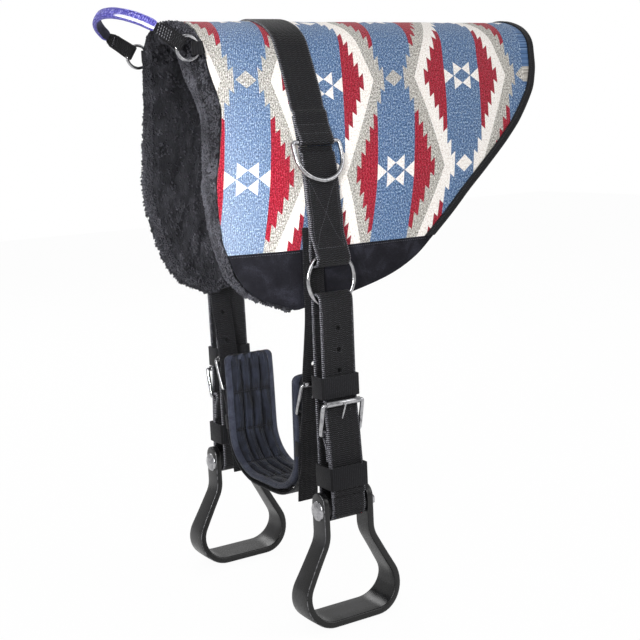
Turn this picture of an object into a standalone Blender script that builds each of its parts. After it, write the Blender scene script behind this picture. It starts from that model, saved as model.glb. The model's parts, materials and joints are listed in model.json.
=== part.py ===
"""Bareback riding pad with stirrups, girth and hand hold, as separate pieces.

X runs along the horse's back with the withers at -X, +Y is the horse's right, +Z is up.
The origin is on the underside of the pad's ridge, above the girth, where the pad rests on the back.
A drop is a distance below the top of the ridge, and "out" is a distance from the middle plane.
"""

import math

import bmesh
import bpy
import numpy as np
from mathutils import Matrix, Vector

# Clearances
GAP = 0.0003
LAYER_GAP = 0.0004
PLY_GAP = 0.0006
LIFT_GAP = 0.0005
OVERRUN = 0.002
MITRE_FLOOR_SHARE = 0.35
GRID_HALF_SHARE = 0.5

# Pad shell
PAD_FRONT = 0.147
PAD_REAR = 0.415
PAD_DROP = 0.366
PAD_HALF_WIDTH = 0.130
COVER_THICK = 0.0025
FOAM_THICK = 0.010
FLEECE_THICK = 0.0114
PAD_THICK = COVER_THICK + FOAM_THICK + FLEECE_THICK + 2 * PLY_GAP
NARROW_FROM = 0.040
NARROW_SHARE = 0.15
PINCH_REACH = 0.025
PINCH_SHARE = 0.35
FLEECE_LIP = 0.010
LIP_ROOM = 0.0012
PANEL_DROP = 0.289
BINDING_WIDTH = 0.012
BINDING_THICK = 0.0015

# Webbing strap over the ridge, with a ring for a rope on each side
STRAP_WIDTH = 0.050
SURCINGLE_THICK = 0.0022
DRING_DROP = 0.157
DRING_OUT = 0.1223
DRING_WIRE = 0.0055
DRING_WIDTH = 0.0740
DRING_HEIGHT = 0.0568
DRING_LEAN = math.radians(20)
SURCINGLE_TURN_BACK = 0.033

# Rigging strap and its round ring
STRAP_THICK = 0.003
RIGGING_TOP_DROP = 0.1635
RIGGING_FRONT_DROP = 0.172
RING_DROP = 0.328
RING_OUT = 0.1435
RING_WIRE = 0.0055
RING_DIAMETER = 0.0745
RING_FOLD_ROOM = 0.0075
RING_FOLD_RISE = 0.0264

# Stirrup strap
SLEEVE_DROP = 0.622
SLEEVE_OUT = 0.1474
SLEEVE_DIAMETER = 0.025
STRAP_HEEL_SHARE = 0.66837
STRAP_HEEL_DROP = RING_DROP + STRAP_HEEL_SHARE * (SLEEVE_DROP - RING_DROP)
STRAP_HEEL_OUT = 0.149
STRAP_TAIL_SHARE = 0.805
STRAP_TAIL_DROP = STRAP_HEEL_DROP + STRAP_TAIL_SHARE * (SLEEVE_DROP - STRAP_HEEL_DROP)
STRAP_TURN_BACK = 0.034
STRAP_HOLE = 0.006
STRAP_HOLES_ABOVE_HEEL = (0.1355, 0.1085, 0.0815)
STRAP_HOLE_DROPS = tuple(STRAP_HEEL_DROP - above for above in STRAP_HOLES_ABOVE_HEEL)
TAIL_HOLE_SHARE = 0.30
KEEPER_THICK = 0.002
UPPER_KEEPER_ABOVE_HEEL = (0.0745, 0.0465)
LOWER_KEEPER_SHARES = (0.415, 0.713)
UPPER_KEEPER = tuple(STRAP_HEEL_DROP - above for above in UPPER_KEEPER_ABOVE_HEEL)
LOWER_KEEPER = tuple(STRAP_HEEL_DROP + share * (SLEEVE_DROP - STRAP_HEEL_DROP)
                     for share in LOWER_KEEPER_SHARES)
KEEPER_SIDE_ROOM = 0.0012
KEEPER_CORNER = 0.002

# Roller buckles: strap buckle, then girth buckle
STRAP_BUCKLE_LENGTH = 0.0405
STRAP_BUCKLE_INSIDE = 0.054
STRAP_BUCKLE_WIRE = 0.0055
STRAP_TOE_RISE = 0.0035
GIRTH_BUCKLE_LENGTH = 0.043
GIRTH_BUCKLE_INSIDE = 0.0325
GIRTH_BUCKLE_WIRE = 0.0045
GIRTH_TOE_RISE = 0.005
ROLLER_WALL = 0.0009
BUCKLE_CORNER = 0.003
PRONG_TIP = 0.002
PRONG_BEND = 0.010
PRONG_HOLE_LENGTH = 0.0150
PRONG_HOLE_SHARE = 0.48
PRONG_SIDE_ROOM = 0.0006

# Stirrup
STIRRUP_BAR = 0.009
STIRRUP_NECK = 0.067
EAR_RISE = 0.023
NECK_DROP = 0.039
TREAD_DROP = 0.1455
TREAD_CORNER_WIDTH = 0.185
NECK_FILLET = 0.042
TREAD_FILLET = 0.035
NECK_DEPTH = 0.030
TREAD_DEPTH = 0.051
STIRRUP_CHAMFER = 0.002
BOLT_DIAMETER = 0.008
BOLT_HEAD = 0.0265
BOLT_DOME = 0.005
NUT_ACROSS = 0.016
NUT_HEIGHT = 0.008
NUT_SIDES = 6

# Girth
BILLET_X = -0.017
BILLET_WIDTH = 0.030
BILLET_TOP_DROP = 0.262
BILLET_BEND_DROP = 0.375
BILLET_BEND_OUT = 0.1285
BILLET_PASS_DROP = 0.345
BILLET_PASS_OUT = 0.1296
BILLET_TAIL_DROP = 0.625
BILLET_TAIL_OUT = 0.0890
BILLET_HOLE_DROPS = (0.397, 0.437)
GIRTH_HEEL_DROP = 0.504
GIRTH_HEEL_OUT = 0.1018
GIRTH_LEAN = math.radians(9)
GIRTH_PIVOT_DROP = 0.300
WEB_THICK = 0.0025
WEB_STANDOFF = 0.0026
WEB_TURN_BACK = 0.026
WEB_MEET_DROP = 0.539
GIRTH_KEEPER = (0.542, 0.562)
GIRTH_X = 0.004
GIRTH_WIDTH = 0.077
GIRTH_THICK = 0.014
GIRTH_RIM = 0.006
GIRTH_TOP_DROP = 0.455
GIRTH_TOP_OUT = 0.0942
GIRTH_LOW_DROP = 0.617
GIRTH_LOW_OUT = 0.0762
GIRTH_BEND = 0.060
GIRTH_CHANNELS = 3
GIRTH_BLOCKS = 8
GIRTH_SEAM_SHARE = 0.45
# Across a channel and along a block: place as a share of it, rise as a share of the crown
CHANNEL_CROWN_SHARES = ((0, 0), (0.2, 0.75), (0.5, 1), (0.8, 0.75))
BLOCK_PUFF_SHARES = ((0, 0.25), (0.12, 0.8), (0.5, 1), (0.88, 0.8))

# Hand hold
HANDLE_RING_X = -0.1446
HANDLE_RING_OUT = 0.0736
HANDLE_RING_DROP = 0.039
HANDLE_RING_DIAMETER = 0.034
HANDLE_RING_WIRE = 0.0045
HANDLE_TILT = math.radians(32.6)
HANDLE_WEB_WIDTH = 0.018
HANDLE_WEB_THICK = 0.002
HANDLE_SHOULDER = 0.035
HANDLE_REACH = 0.087
HANDLE_COVER_WIDTH = 0.023
HANDLE_COVER_THICK = 0.0075
HANDLE_COVER_START = 0.047
TAB_WIDTH = 0.016
TAB_THICK = 0.002
TAB_END_X = -0.088
TAB_MEET_X = -0.112
TAB_STAGGER = 0.006

# Cross-section of the pad: out as a share of its half width, drop as a share of its drop
SECTION_SHARES = ((0, 0), (0.31, 0.025), (0.51, 0.074), (0.62, 0.150), (0.76, 0.270),
                  (0.87, 0.391), (0.954, 0.519), (0.992, 0.615), (1, 0.746),
                  (0.985, 0.847), (0.940, 0.956), (0.905, 1))
# Side outline: drop as a share of the pad's drop, X as a share of its front or rear reach
FRONT_SHARES = ((0, 1), (0.16, 0.980), (0.25, 0.952), (0.34, 0.937), (0.57, 0.937), (0.66, 0.905),
                (0.75, 0.850), (0.84, 0.776), (0.89, 0.714), (0.93, 0.640), (0.955, 0.558),
                (0.975, 0.449), (1, 0.293))
REAR_SHARES = ((0, 1), (0.10, 0.986), (0.19, 0.964), (0.27, 0.928), (0.33, 0.884), (0.40, 0.827),
               (0.475, 0.752), (0.555, 0.663), (0.635, 0.578), (0.72, 0.499), (0.795, 0.422),
               (0.85, 0.371), (0.89, 0.318), (0.93, 0.241), (0.96, 0.130), (0.98, 0.063), (1, -0.104))
# Columns across the front zone, as shares of it, after the fleece lip
FRONT_COLUMN_SHARES = (0.30, 0.54, 0.78, 1)
MIDDLE_COLUMNS = 2
COVER_ROWS = 18
PANEL_ROW_SHARES = (0.25, 0.50, 0.70, 0.84, 0.94)
# Depth of the fleece at its front nose, as shares of the pad's thickness: outer face, inner face
NOSE_SHARES = ((0.34, 0.74), (0.08, 0.95))

NAVY = "343A52"
BLACK_WEB = "26262B"


def clear_scene():
    for old in list(bpy.data.objects):
        bpy.data.objects.remove(old, do_unlink=True)


def material(name, colour, roughness, metallic=0.0):
    """A Principled material from an sRGB hex colour."""
    made = bpy.data.materials.new(name)
    made.use_nodes = True
    shader = made.node_tree.nodes["Principled BSDF"]
    parts = [int(colour[i:i + 2], 16) / 255 for i in (0, 2, 4)]
    linear = [p / 12.92 if p <= 0.04045 else ((p + 0.055) / 1.055) ** 2.4 for p in parts]
    shader.inputs["Base Color"].default_value = (*linear, 1)
    shader.inputs["Roughness"].default_value = roughness
    shader.inputs["Metallic"].default_value = metallic
    return made


def make_materials():
    return {
        "woven": material("woven_blanket", "8FA0BC", 0.95),
        "fleece": material("black_fleece", "2B2B30", 1.0),
        "foam": material("foam_core", "B9B4A6", 0.9),
        "suede": material("suede_wear_panel", "2A2B31", 0.85),
        "web": material("black_webbing", BLACK_WEB, 0.75),
        "navy": material("navy_quilting", NAVY, 0.85),
        "blue": material("blue_grip_sleeve", "6E70C4", 0.8),
        "nickel": material("nickel_plate", "D5D6D8", 0.18, 1.0),
        "stirrup": material("satin_black_stirrup", "35363A", 0.45),
        "sleeve": material("black_sleeve", "1C1C1E", 0.5),
    }


def face_out(bm):
    """Point every face of a closed mesh outwards."""
    bmesh.ops.recalc_face_normals(bm, faces=bm.faces)
    if bm.calc_volume(signed=True) < 0:
        bmesh.ops.reverse_faces(bm, faces=bm.faces)


def finish(name, bm, look, sharp_deg=35):
    """Turn a closed bmesh into a named object."""
    face_out(bm)
    mesh = bpy.data.meshes.new(name)
    bm.to_mesh(mesh)
    bm.free()
    mesh.materials.append(look)
    mesh.shade_smooth()
    mesh.set_sharp_from_angle(angle=math.radians(sharp_deg))
    made = bpy.data.objects.new(name, mesh)
    bpy.context.collection.objects.link(made)
    return made


def pivot(name, place):
    """An empty on a joint's axis, which carries the pieces that turn about it."""
    made = bpy.data.objects.new(name, None)
    made.empty_display_size = STRAP_WIDTH
    made.location = place
    bpy.context.collection.objects.link(made)
    return made


def carry(parent, pieces):
    for piece in pieces:
        piece.parent = parent
        piece.matrix_parent_inverse = Matrix.Translation(parent.location).inverted()


def loft(rings, closed=False):
    """A closed mesh through rings that all have the same number of points."""
    bm = bmesh.new()
    loops = [[bm.verts.new(point) for point in ring] for ring in rings]
    pairs = list(zip(loops, loops[1:]))
    if closed:
        pairs.append((loops[-1], loops[0]))
    for low, high in pairs:
        for k in range(len(low)):
            after = (k + 1) % len(low)
            bm.faces.new((low[k], low[after], high[after], high[k]))
    if not closed:
        bm.faces.new(loops[0])
        bm.faces.new(loops[-1])
    return bm


def wire(name, points, diameter, look, closed=True, resolution=2):
    """A round bar bent along points."""
    curve = bpy.data.curves.new(name, "CURVE")
    curve.dimensions = "3D"
    curve.bevel_depth = diameter / 2
    curve.bevel_resolution = resolution
    curve.use_fill_caps = True
    spline = curve.splines.new("POLY")
    spline.points.add(len(points) - 1)
    for knot, point in zip(spline.points, points):
        knot.co = (*point, 1)
    spline.use_cyclic_u = closed
    curve.materials.append(look)
    made = bpy.data.objects.new(name, curve)
    bpy.context.collection.objects.link(made)
    return made


def turned(name, profile, centre, look, steps=16):
    """A piece turned about an X axis through centre, from (x, radius) points that end on the axis."""
    bm = bmesh.new()
    line = [bm.verts.new((x, 0, radius)) for x, radius in profile]
    edges = [bm.edges.new(pair) for pair in zip(line, line[1:])]
    if profile[0][1] > 0:
        edges.append(bm.edges.new((line[-1], line[0])))
    bmesh.ops.spin(bm, geom=line + edges, cent=(0, 0, 0), axis=(1, 0, 0), angle=2 * math.pi,
                   steps=steps, use_merge=True)
    bmesh.ops.remove_doubles(bm, verts=bm.verts, dist=GAP / 30)
    bmesh.ops.translate(bm, verts=bm.verts, vec=centre)
    return finish(name, bm, look)


def cut(piece, cutter_mesh):
    """Cut a shape out of a piece with an exact Boolean whose cutter stays hidden."""
    face_out(cutter_mesh)
    mesh = bpy.data.meshes.new(piece.name + "_cutter")
    cutter_mesh.to_mesh(mesh)
    cutter_mesh.free()
    cutter = bpy.data.objects.new(piece.name + "_cutter", mesh)
    bpy.context.collection.objects.link(cutter)
    cutter.hide_render = True
    cutter.display_type = "WIRE"
    step = piece.modifiers.new("cut", "BOOLEAN")
    step.operation = "DIFFERENCE"
    step.solver = "EXACT"
    step.object = cutter


def add_cylinder(bm, start, end, radius, segments=16):
    """Add a cylinder between two points to a cutter."""
    axis = Vector(end) - Vector(start)
    turn = axis.to_track_quat("Z", "Y").to_matrix().to_4x4()
    place = Matrix.Translation((Vector(start) + Vector(end)) / 2) @ turn
    bmesh.ops.create_cone(bm, cap_ends=True, segments=segments, radius1=radius, radius2=radius,
                          depth=axis.length, matrix=place)


def arc(centre, radius, start_deg, end_deg, steps=10):
    """Points of an arc in a plane, from one angle to another."""
    angles = [math.radians(start_deg + (end_deg - start_deg) * k / steps) for k in range(steps + 1)]
    return [Vector((centre[0] + radius * math.cos(a), centre[1] + radius * math.sin(a))) for a in angles]


def rounded(points, radii, closed=False, steps=5):
    """A polyline whose corners are arcs; a radius of zero keeps the corner."""
    points = [Vector(p) for p in points]
    line = []
    for i, corner in enumerate(points):
        if radii[i] == 0:
            line.append(corner)
            continue
        before = (points[i - 1] - corner).normalized()
        after = (points[(i + 1) % len(points)] - corner).normalized()
        half = before.angle(after) / 2
        centre = corner + (before + after).normalized() * radii[i] / math.sin(half)
        start = corner + before * radii[i] / math.tan(half) - centre
        end = corner + after * radii[i] / math.tan(half) - centre
        first = math.atan2(start.y, start.x)
        sweep = (math.atan2(end.y, end.x) - first + math.pi) % (2 * math.pi) - math.pi
        for k in range(steps + 1):
            angle = first + sweep * k / steps
            line.append(centre + Vector((math.cos(angle), math.sin(angle))) * radii[i])
    return line


def line_normals(points, closed=False):
    """Mitred normals of a flat polyline, to the right of its direction."""
    count = len(points)
    normals = []
    for i in range(count):
        sides = []
        if closed or i > 0:
            sides.append((points[i] - points[i - 1]).normalized())
        if closed or i < count - 1:
            sides.append((points[(i + 1) % count] - points[i]).normalized())
        rights = [Vector((d.y, -d.x)) for d in sides]
        middle = sum(rights, Vector((0, 0))).normalized()
        normals.append(middle / max(middle.dot(rights[0]), MITRE_FLOOR_SHARE))
    return normals


def side_name(side):
    return "left" if side < 0 else "right"


def to_world(x, place, side):
    """A point given as (out, height) beside the middle plane."""
    return Vector((x, side * place[0], place[1]))


def height(drop):
    """Height of something a drop below the top of the ridge."""
    return PAD_THICK - drop


def ribbon(name, path, width, thick, look, x_mid=0.0, side=1):
    """A flat strap along an (out, height) line, with its width along X."""
    path = [Vector(p) for p in path]
    rings = []
    for place, normal in zip(path, line_normals(path)):
        outer = place + normal * thick / 2
        inner = place - normal * thick / 2
        rings.append([to_world(x_mid - width / 2, outer, side), to_world(x_mid + width / 2, outer, side),
                      to_world(x_mid + width / 2, inner, side), to_world(x_mid - width / 2, inner, side)])
    return finish(name, loft(rings), look)


# Form of the pad

def section_points():
    """The cross-section as a smooth line from the ridge to the lower edge."""
    knots = [Vector((a * PAD_HALF_WIDTH, -b * PAD_DROP)) for a, b in SECTION_SHARES]
    knots = [Vector((-knots[1].x, knots[1].y))] + knots + [2 * knots[-1] - knots[-2]]
    fine = 16
    line = []
    for i in range(1, len(knots) - 2):
        before, start, end, after = knots[i - 1:i + 3]
        for k in range(fine):
            t = k / fine
            line.append(0.5 * (2 * start + (end - before) * t
                               + (2 * before - 5 * start + 4 * end - after) * t ** 2
                               + (3 * start - before - 3 * end + after) * t ** 3))
    return np.array(line + [knots[-2]])


SECTION = section_points()
ARCS = np.concatenate(([0.0], np.cumsum(np.linalg.norm(np.diff(SECTION, axis=0), axis=1))))
SLOPES = np.gradient(SECTION, ARCS, axis=0)
ARC_END = float(ARCS[-1])


def arc_at(drop):
    """Distance over the pad from the ridge to a drop."""
    return float(np.interp(drop, -SECTION[:, 1], ARCS))


def share_line(shares, reach, arc_length):
    """X of the front or rear edge at a distance over the pad."""
    drop_share = -np.interp(abs(arc_length), ARCS, SECTION[:, 1]) / PAD_DROP
    return float(np.interp(drop_share, [s[0] for s in shares], [s[1] * reach for s in shares]))


def front_x(arc_length):
    return -share_line(FRONT_SHARES, PAD_FRONT, arc_length)


def rear_x(arc_length):
    return share_line(REAR_SHARES, PAD_REAR, arc_length)


def rear_stretch(arc_length):
    """How much longer a distance from the rear edge is when measured along X."""
    step = 2 * BINDING_WIDTH
    start = max(abs(arc_length) - step, 0)
    end = min(abs(arc_length) + step, ARC_END)
    return math.hypot(1, (rear_x(end) - rear_x(start)) / (end - start))


EDGE_LINE = np.array([(rear_x(a), a) for a in np.linspace(0, ARC_END, 200)])


def pinch(x, arc_length):
    """Share of its full thickness that the pad has left near its bound edge."""
    near = float(np.min(np.hypot(EDGE_LINE[:, 0] - x, EDGE_LINE[:, 1] - abs(arc_length))))
    return 1 - PINCH_SHARE * max(0.0, 1 - near / PINCH_REACH)


def narrowing(x):
    """Share of the full width that the section has towards the withers, and its slope along X."""
    reach = PAD_FRONT - NARROW_FROM
    t = min(max((-x - NARROW_FROM) / reach, 0), 1)
    return 1 - NARROW_SHARE * t * t * (3 - 2 * t), NARROW_SHARE * 6 * t * (1 - t) / reach


def on_pad(x, arc_length, depth=0.0, beyond=0.0):
    """A point of the pad, at a depth under its outer face and a distance beyond that depth."""
    out = np.interp(abs(arc_length), ARCS, SECTION[:, 0])
    rise = np.interp(abs(arc_length), ARCS, SECTION[:, 1])
    out_slope = np.interp(abs(arc_length), ARCS, SLOPES[:, 0])
    rise_slope = np.interp(abs(arc_length), ARCS, SLOPES[:, 1])
    width, width_slope = narrowing(x)
    normal = Vector((out * width_slope * rise_slope, -rise_slope, out_slope * width)).normalized()
    sunk = depth * pinch(x, arc_length) + beyond
    place = Vector((x, out * width, PAD_THICK + rise)) - normal * sunk
    place.y = math.copysign(place.y, arc_length) if arc_length else 0.0
    return place


def over_pad(arc_length, lift):
    """(out, height) of a point above the middle of the pad."""
    place = on_pad(0.0, arc_length, 0, -lift)
    return Vector((place.y, place.z))


def cover_arcs():
    """Row distances from the ridge down to the wear panel."""
    return [arc_at(PANEL_DROP) * k / COVER_ROWS for k in range(COVER_ROWS + 1)]


def panel_arcs():
    start = arc_at(PANEL_DROP)
    return [start] + [start + (ARC_END - start) * share for share in PANEL_ROW_SHARES]


def row_columns(arc_length):
    """X of each column of one row: fleece lip, front zone, middle and rear."""
    front = front_x(arc_length)
    stretch = rear_stretch(arc_length)
    edge = rear_x(arc_length)
    rear = edge - min((BINDING_THICK + LAYER_GAP) * stretch, NARROW_SHARE * (edge - front))
    length = rear - front
    zone = min(PAD_FRONT - NARROW_FROM, length / 2)
    lip = min(FLEECE_LIP, length / 10)
    columns = [front, front + lip / 2, front + lip, front + lip + LAYER_GAP]
    columns += [front + zone * share for share in FRONT_COLUMN_SHARES]
    inner = rear - min(PINCH_REACH * stretch, length / 4)
    start = columns[-1]
    columns += [start + (inner - start) * k / MIDDLE_COLUMNS for k in range(1, MIDDLE_COLUMNS + 1)]
    return columns + [rear]


def pad_sheet(name, look, arcs, upper, lower, first=0):
    """One layer of the pad, cut flat as a grid, given its thickness and draped over the form.

    upper and lower give the depth of a column's outer and inner face.
    """
    rows = [row_columns(a) for a in arcs]
    across = len(rows[0]) - 1 - first
    along = len(rows) - 1
    bm = bmesh.new()
    bmesh.ops.create_grid(bm, x_segments=across, y_segments=along, size=GRID_HALF_SHARE)
    for face in bm.faces[:]:
        corners = sorted(face.verts, key=lambda v: (abs(arcs[round((v.co.y + GRID_HALF_SHARE) * along)]), v.co.x))
        low = min(corners[:2], key=lambda v: v.co.x)
        high = max(corners[2:], key=lambda v: v.co.x)
        bmesh.utils.face_split(face, low, high)
    extruded = bmesh.ops.extrude_face_region(bm, geom=bm.faces[:])["geom"]
    under = {item for item in extruded if isinstance(item, bmesh.types.BMVert)}
    for vert in bm.verts:
        column = first + round((vert.co.x + GRID_HALF_SHARE) * across)
        row = round((vert.co.y + GRID_HALF_SHARE) * along)
        x = rows[row][column]
        if first and column == first:
            x += LIP_ROOM
        depth = lower(column) if vert in under else upper(column)
        vert.co = on_pad(x, arcs[row], depth)
    return finish(name, bm, look, 50)


def both_ways(arcs):
    return [-a for a in reversed(arcs[1:])] + list(arcs)


def fleece_upper(column):
    if column < len(NOSE_SHARES):
        return NOSE_SHARES[column][0] * PAD_THICK
    if column == len(NOSE_SHARES):
        return LAYER_GAP
    return COVER_THICK + FOAM_THICK + 2 * PLY_GAP


def fleece_lower(column):
    return NOSE_SHARES[column][1] * PAD_THICK if column < len(NOSE_SHARES) else PAD_THICK


def make_pad(looks):
    """The fleece, foam, woven cover, wear panels and edge binding."""
    whole = cover_arcs() + panel_arcs()[1:]
    after_lip = len(NOSE_SHARES) + 1
    pad_sheet("fleece_lining", looks["fleece"], both_ways(whole), fleece_upper, fleece_lower)
    pad_sheet("foam_core", looks["foam"], both_ways(whole), lambda c: COVER_THICK + PLY_GAP,
              lambda c: COVER_THICK + PLY_GAP + FOAM_THICK, after_lip)
    pad_sheet("woven_cover", looks["woven"], both_ways(cover_arcs()), lambda c: 0.0,
              lambda c: COVER_THICK, after_lip)
    for side in (-1, 1):
        arcs = panel_arcs()
        arcs[0] += LAYER_GAP
        pad_sheet("wear_panel_" + side_name(side), looks["suede"], [side * a for a in arcs],
                  lambda c: 0.0, lambda c: COVER_THICK, after_lip)
    make_binding(looks["web"])


def make_binding(look):
    """The edge tape, a channel that grips the rear rim from one wear panel to the other."""
    rings = []
    for arc_length in both_ways(cover_arcs()):
        edge = rear_x(arc_length)
        stretch = rear_stretch(arc_length)
        inner = edge - BINDING_THICK * stretch
        leg = edge - BINDING_WIDTH * stretch
        above = (0.0, -LAYER_GAP)
        below = (PAD_THICK, LAYER_GAP)
        outside = (0.0, -LAYER_GAP - BINDING_THICK)
        underside = (PAD_THICK, LAYER_GAP + BINDING_THICK)
        profile = ((edge, outside), (leg, outside), (leg, above), (inner, above),
                   (inner, below), (leg, below), (leg, underside), (edge, underside))
        rings.append([on_pad(x, arc_length, *level) for x, level in profile])
    finish("edge_binding", loft(rings), look)


# Straps over the pad

def surcingle_half():
    """Half of the strap over the ridge, down to the D-ring and back under itself."""
    lift = LAYER_GAP + SURCINGLE_THICK / 2
    raised = lift + SURCINGLE_THICK + LAYER_GAP
    bar = Vector((DRING_OUT, height(DRING_DROP)))
    turn = DRING_WIRE / 2 + GAP + SURCINGLE_THICK / 2
    end = arc_at(DRING_DROP) - SURCINGLE_TURN_BACK
    rows = [a for a in cover_arcs() if a < end + turn]
    path = [over_pad(a, lift) for a in rows if a < end - turn]
    path += [over_pad(end - turn, raised)]
    path += [over_pad(a, raised) for a in cover_arcs() if end - turn < a < arc_at(DRING_DROP) - 2 * turn]
    path += arc(bar, turn, 10, -180, 8)
    path += [over_pad(a, lift) for a in reversed(cover_arcs()) if end < a < arc_at(DRING_DROP) - 2 * turn]
    return path + [over_pad(end, lift)]


def make_surcingle(look):
    half = surcingle_half()
    whole = [Vector((-p.x, p.y)) for p in reversed(half[1:])] + half
    ribbon("surcingle_strap", whole, STRAP_WIDTH, SURCINGLE_THICK, look)


def rigging_fold():
    """Centre of the lower fold of the rigging strap, which hangs the round ring."""
    return Vector((RING_OUT, height(RING_DROP) + RING_FOLD_RISE))


def rigging_path():
    """Down the pad, over the billet, round the ring and back up on top."""
    flat = LAYER_GAP + STRAP_THICK / 2
    over_billet = flat + STRAP_THICK + 2 * LIFT_GAP
    step = STRAP_THICK + LAYER_GAP
    start = arc_at(RIGGING_TOP_DROP)
    front = arc_at(RIGGING_FRONT_DROP)
    billet = arc_at(BILLET_TOP_DROP)
    last = arc_at(PANEL_DROP)
    rows = [a for a in cover_arcs() if start < a < last]
    spread = rows[1] - rows[0]

    def lift(a):
        return flat + (over_billet - flat) * min(max((a - billet + spread) / spread * 2, 0), 1)

    bend = STRAP_THICK / 2 + RING_FOLD_ROOM
    path = [over_pad(start, flat)] + [over_pad(a, lift(a)) for a in rows]
    path += arc(rigging_fold(), bend, 180, 360, 8)
    path += [over_pad(a, lift(a) + step) for a in reversed(rows) if a > front]
    return path + [over_pad(front, flat + step)]


def ring_points(centre, radius, steps, side, out):
    """A circle whose axis is Y."""
    angles = [2 * math.pi * k / steps for k in range(steps)]
    return [to_world(centre[0] + radius * math.sin(a), (out, centre[1] + radius * math.cos(a)), side)
            for a in angles]


def make_dring(side, look):
    """The D-ring that hangs from the end of the strap over the ridge."""
    half = (DRING_WIDTH - DRING_WIRE) / 2
    tall = DRING_HEIGHT - DRING_WIRE
    outline = rounded([(half, 0), (half, -tall), (-half, -tall), (-half, 0)],
                      [DRING_WIRE * 0.8, half * 0.98, half * 0.98, DRING_WIRE * 0.8], True, 5)
    lean = Vector((-math.sin(DRING_LEAN), math.cos(DRING_LEAN)))
    bar = Vector((DRING_OUT, height(DRING_DROP)))
    points = [to_world(p.x, bar + lean * p.y, side) for p in outline]
    made = wire("upper_dring_" + side_name(side), points, DRING_WIRE, look)
    carry(pivot("upper_dring_axis_" + side_name(side), to_world(0, bar, side)), [made])


# Buckles

class Buckle:
    """A roller buckle, placed by its heel bar, with its own out and up directions."""

    def __init__(self, place, lean, length, inside, bar, strap, billet, toe_rise, x_mid, side):
        self.place = Vector(place)
        self.up = Vector((math.sin(lean), math.cos(lean)))
        self.out = Vector((math.cos(lean), -math.sin(lean)))
        self.length = length
        self.inside = inside
        self.bar = bar
        self.x_mid = x_mid
        self.side = side
        self.fold = bar / 2 + GAP + strap / 2
        self.prong = strap
        self.billet = billet
        self.heel_rise = self.fold + strap / 2 + LIFT_GAP + billet / 2
        self.toe_rise = toe_rise
        self.roller = bar / 2 + GAP + ROLLER_WALL
        self.toe_out = toe_rise + billet / 2 + LAYER_GAP + self.roller

    def at(self, out, up):
        return self.place + self.out * out + self.up * up

    def world(self, x, out, up):
        return to_world(self.x_mid + x, self.at(out, up), self.side)

    def heel_fold(self):
        """Strap points over the heel bar, from the turned-back end to the front."""
        return [self.at(p.x, p.y) for p in arc((0, 0), self.fold, 180, 0, 8)]

    def billet_points(self):
        return [self.at(self.toe_rise, self.length), self.at(self.heel_rise, 0)]

    def make_frame(self, name, look):
        half = (self.inside + self.bar) / 2
        slope = Vector((self.toe_out, self.length))
        outline = rounded([(half, 0), (half, 1), (-half, 1), (-half, 0)], [0] * 4)
        size = slope.length
        outline = rounded([(p.x, p.y * size) for p in outline], [BUCKLE_CORNER] * 4, True, 3)
        points = [self.world(p.x, *(slope * p.y / size)) for p in outline]
        return wire(name, points, self.bar, look)

    def make_roller(self, name, look):
        half = self.inside / 2 - BUCKLE_CORNER / 2
        bore = self.bar / 2 + GAP
        profile = ((-half, bore), (-half, self.roller), (half, self.roller), (half, bore))
        return turned(name, profile, self.world(0, self.toe_out, self.length), look, 16)

    def prong_line(self):
        """The straight part of the prong: where it leaves the billet's back, and where it rests."""
        behind = self.billet / 2 + self.prong / 2 + 2 * GAP
        start = self.length / 3
        rise = self.heel_rise + (self.toe_rise - self.heel_rise) / 3
        rest = (self.roller + self.prong / 2 + 2 * GAP) * 1.12
        return Vector((rise - behind, start)), Vector((self.toe_out + rest, self.length))

    def make_prong(self, name, look):
        start, rest = self.prong_line()
        eye = arc((0, 0), self.fold, 150, 360, 8)
        tip = rest + (rest - start).normalized() * PRONG_TIP
        tongue = rounded([eye[-1], start, tip], [0, PRONG_BEND, 0], False, 3)
        points = [self.world(0, p.x, p.y) for p in eye + tongue[1:]]
        return wire(name, points, self.prong, look, False, 1)

    def strap_slot(self):
        """Cutter for the slot that lets the prong's eye through the fold."""
        bm = bmesh.new()
        half = self.prong / 2 + PRONG_SIDE_ROOM
        add_cylinder(bm, self.world(-half, 0, 0), self.world(half, 0, 0), self.fold + self.prong / 2 + GAP, 24)
        return bm

    def billet_slot(self, bm):
        """Add the prong's own hole in the billet to a cutter."""
        middle = self.length * PRONG_HOLE_SHARE
        rise = self.heel_rise + (self.toe_rise - self.heel_rise) * PRONG_HOLE_SHARE
        reach = self.billet / 2 + OVERRUN
        half = self.prong / 2 + PRONG_SIDE_ROOM
        rings = []
        for up in (middle - PRONG_HOLE_LENGTH / 2, middle + PRONG_HOLE_LENGTH / 2):
            rings.append([self.world(x, rise + out, up) for x, out in
                          ((-half, -reach), (half, -reach), (half, reach), (-half, reach))])
        extra = loft(rings)
        mesh = bpy.data.meshes.new("slot")
        face_out(extra)
        extra.to_mesh(mesh)
        extra.free()
        bm.from_mesh(mesh)
        bpy.data.meshes.remove(mesh)


def strap_buckle(side):
    return Buckle((STRAP_HEEL_OUT, height(STRAP_HEEL_DROP)), 0.0, STRAP_BUCKLE_LENGTH, STRAP_BUCKLE_INSIDE,
                  STRAP_BUCKLE_WIRE, STRAP_THICK, STRAP_THICK, STRAP_TOE_RISE, 0.0, side)


def girth_buckle(side):
    return Buckle((GIRTH_HEEL_OUT, height(GIRTH_HEEL_DROP)), GIRTH_LEAN, GIRTH_BUCKLE_LENGTH,
                  GIRTH_BUCKLE_INSIDE, GIRTH_BUCKLE_WIRE, WEB_THICK, STRAP_THICK, GIRTH_TOE_RISE,
                  BILLET_X, side)


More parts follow.
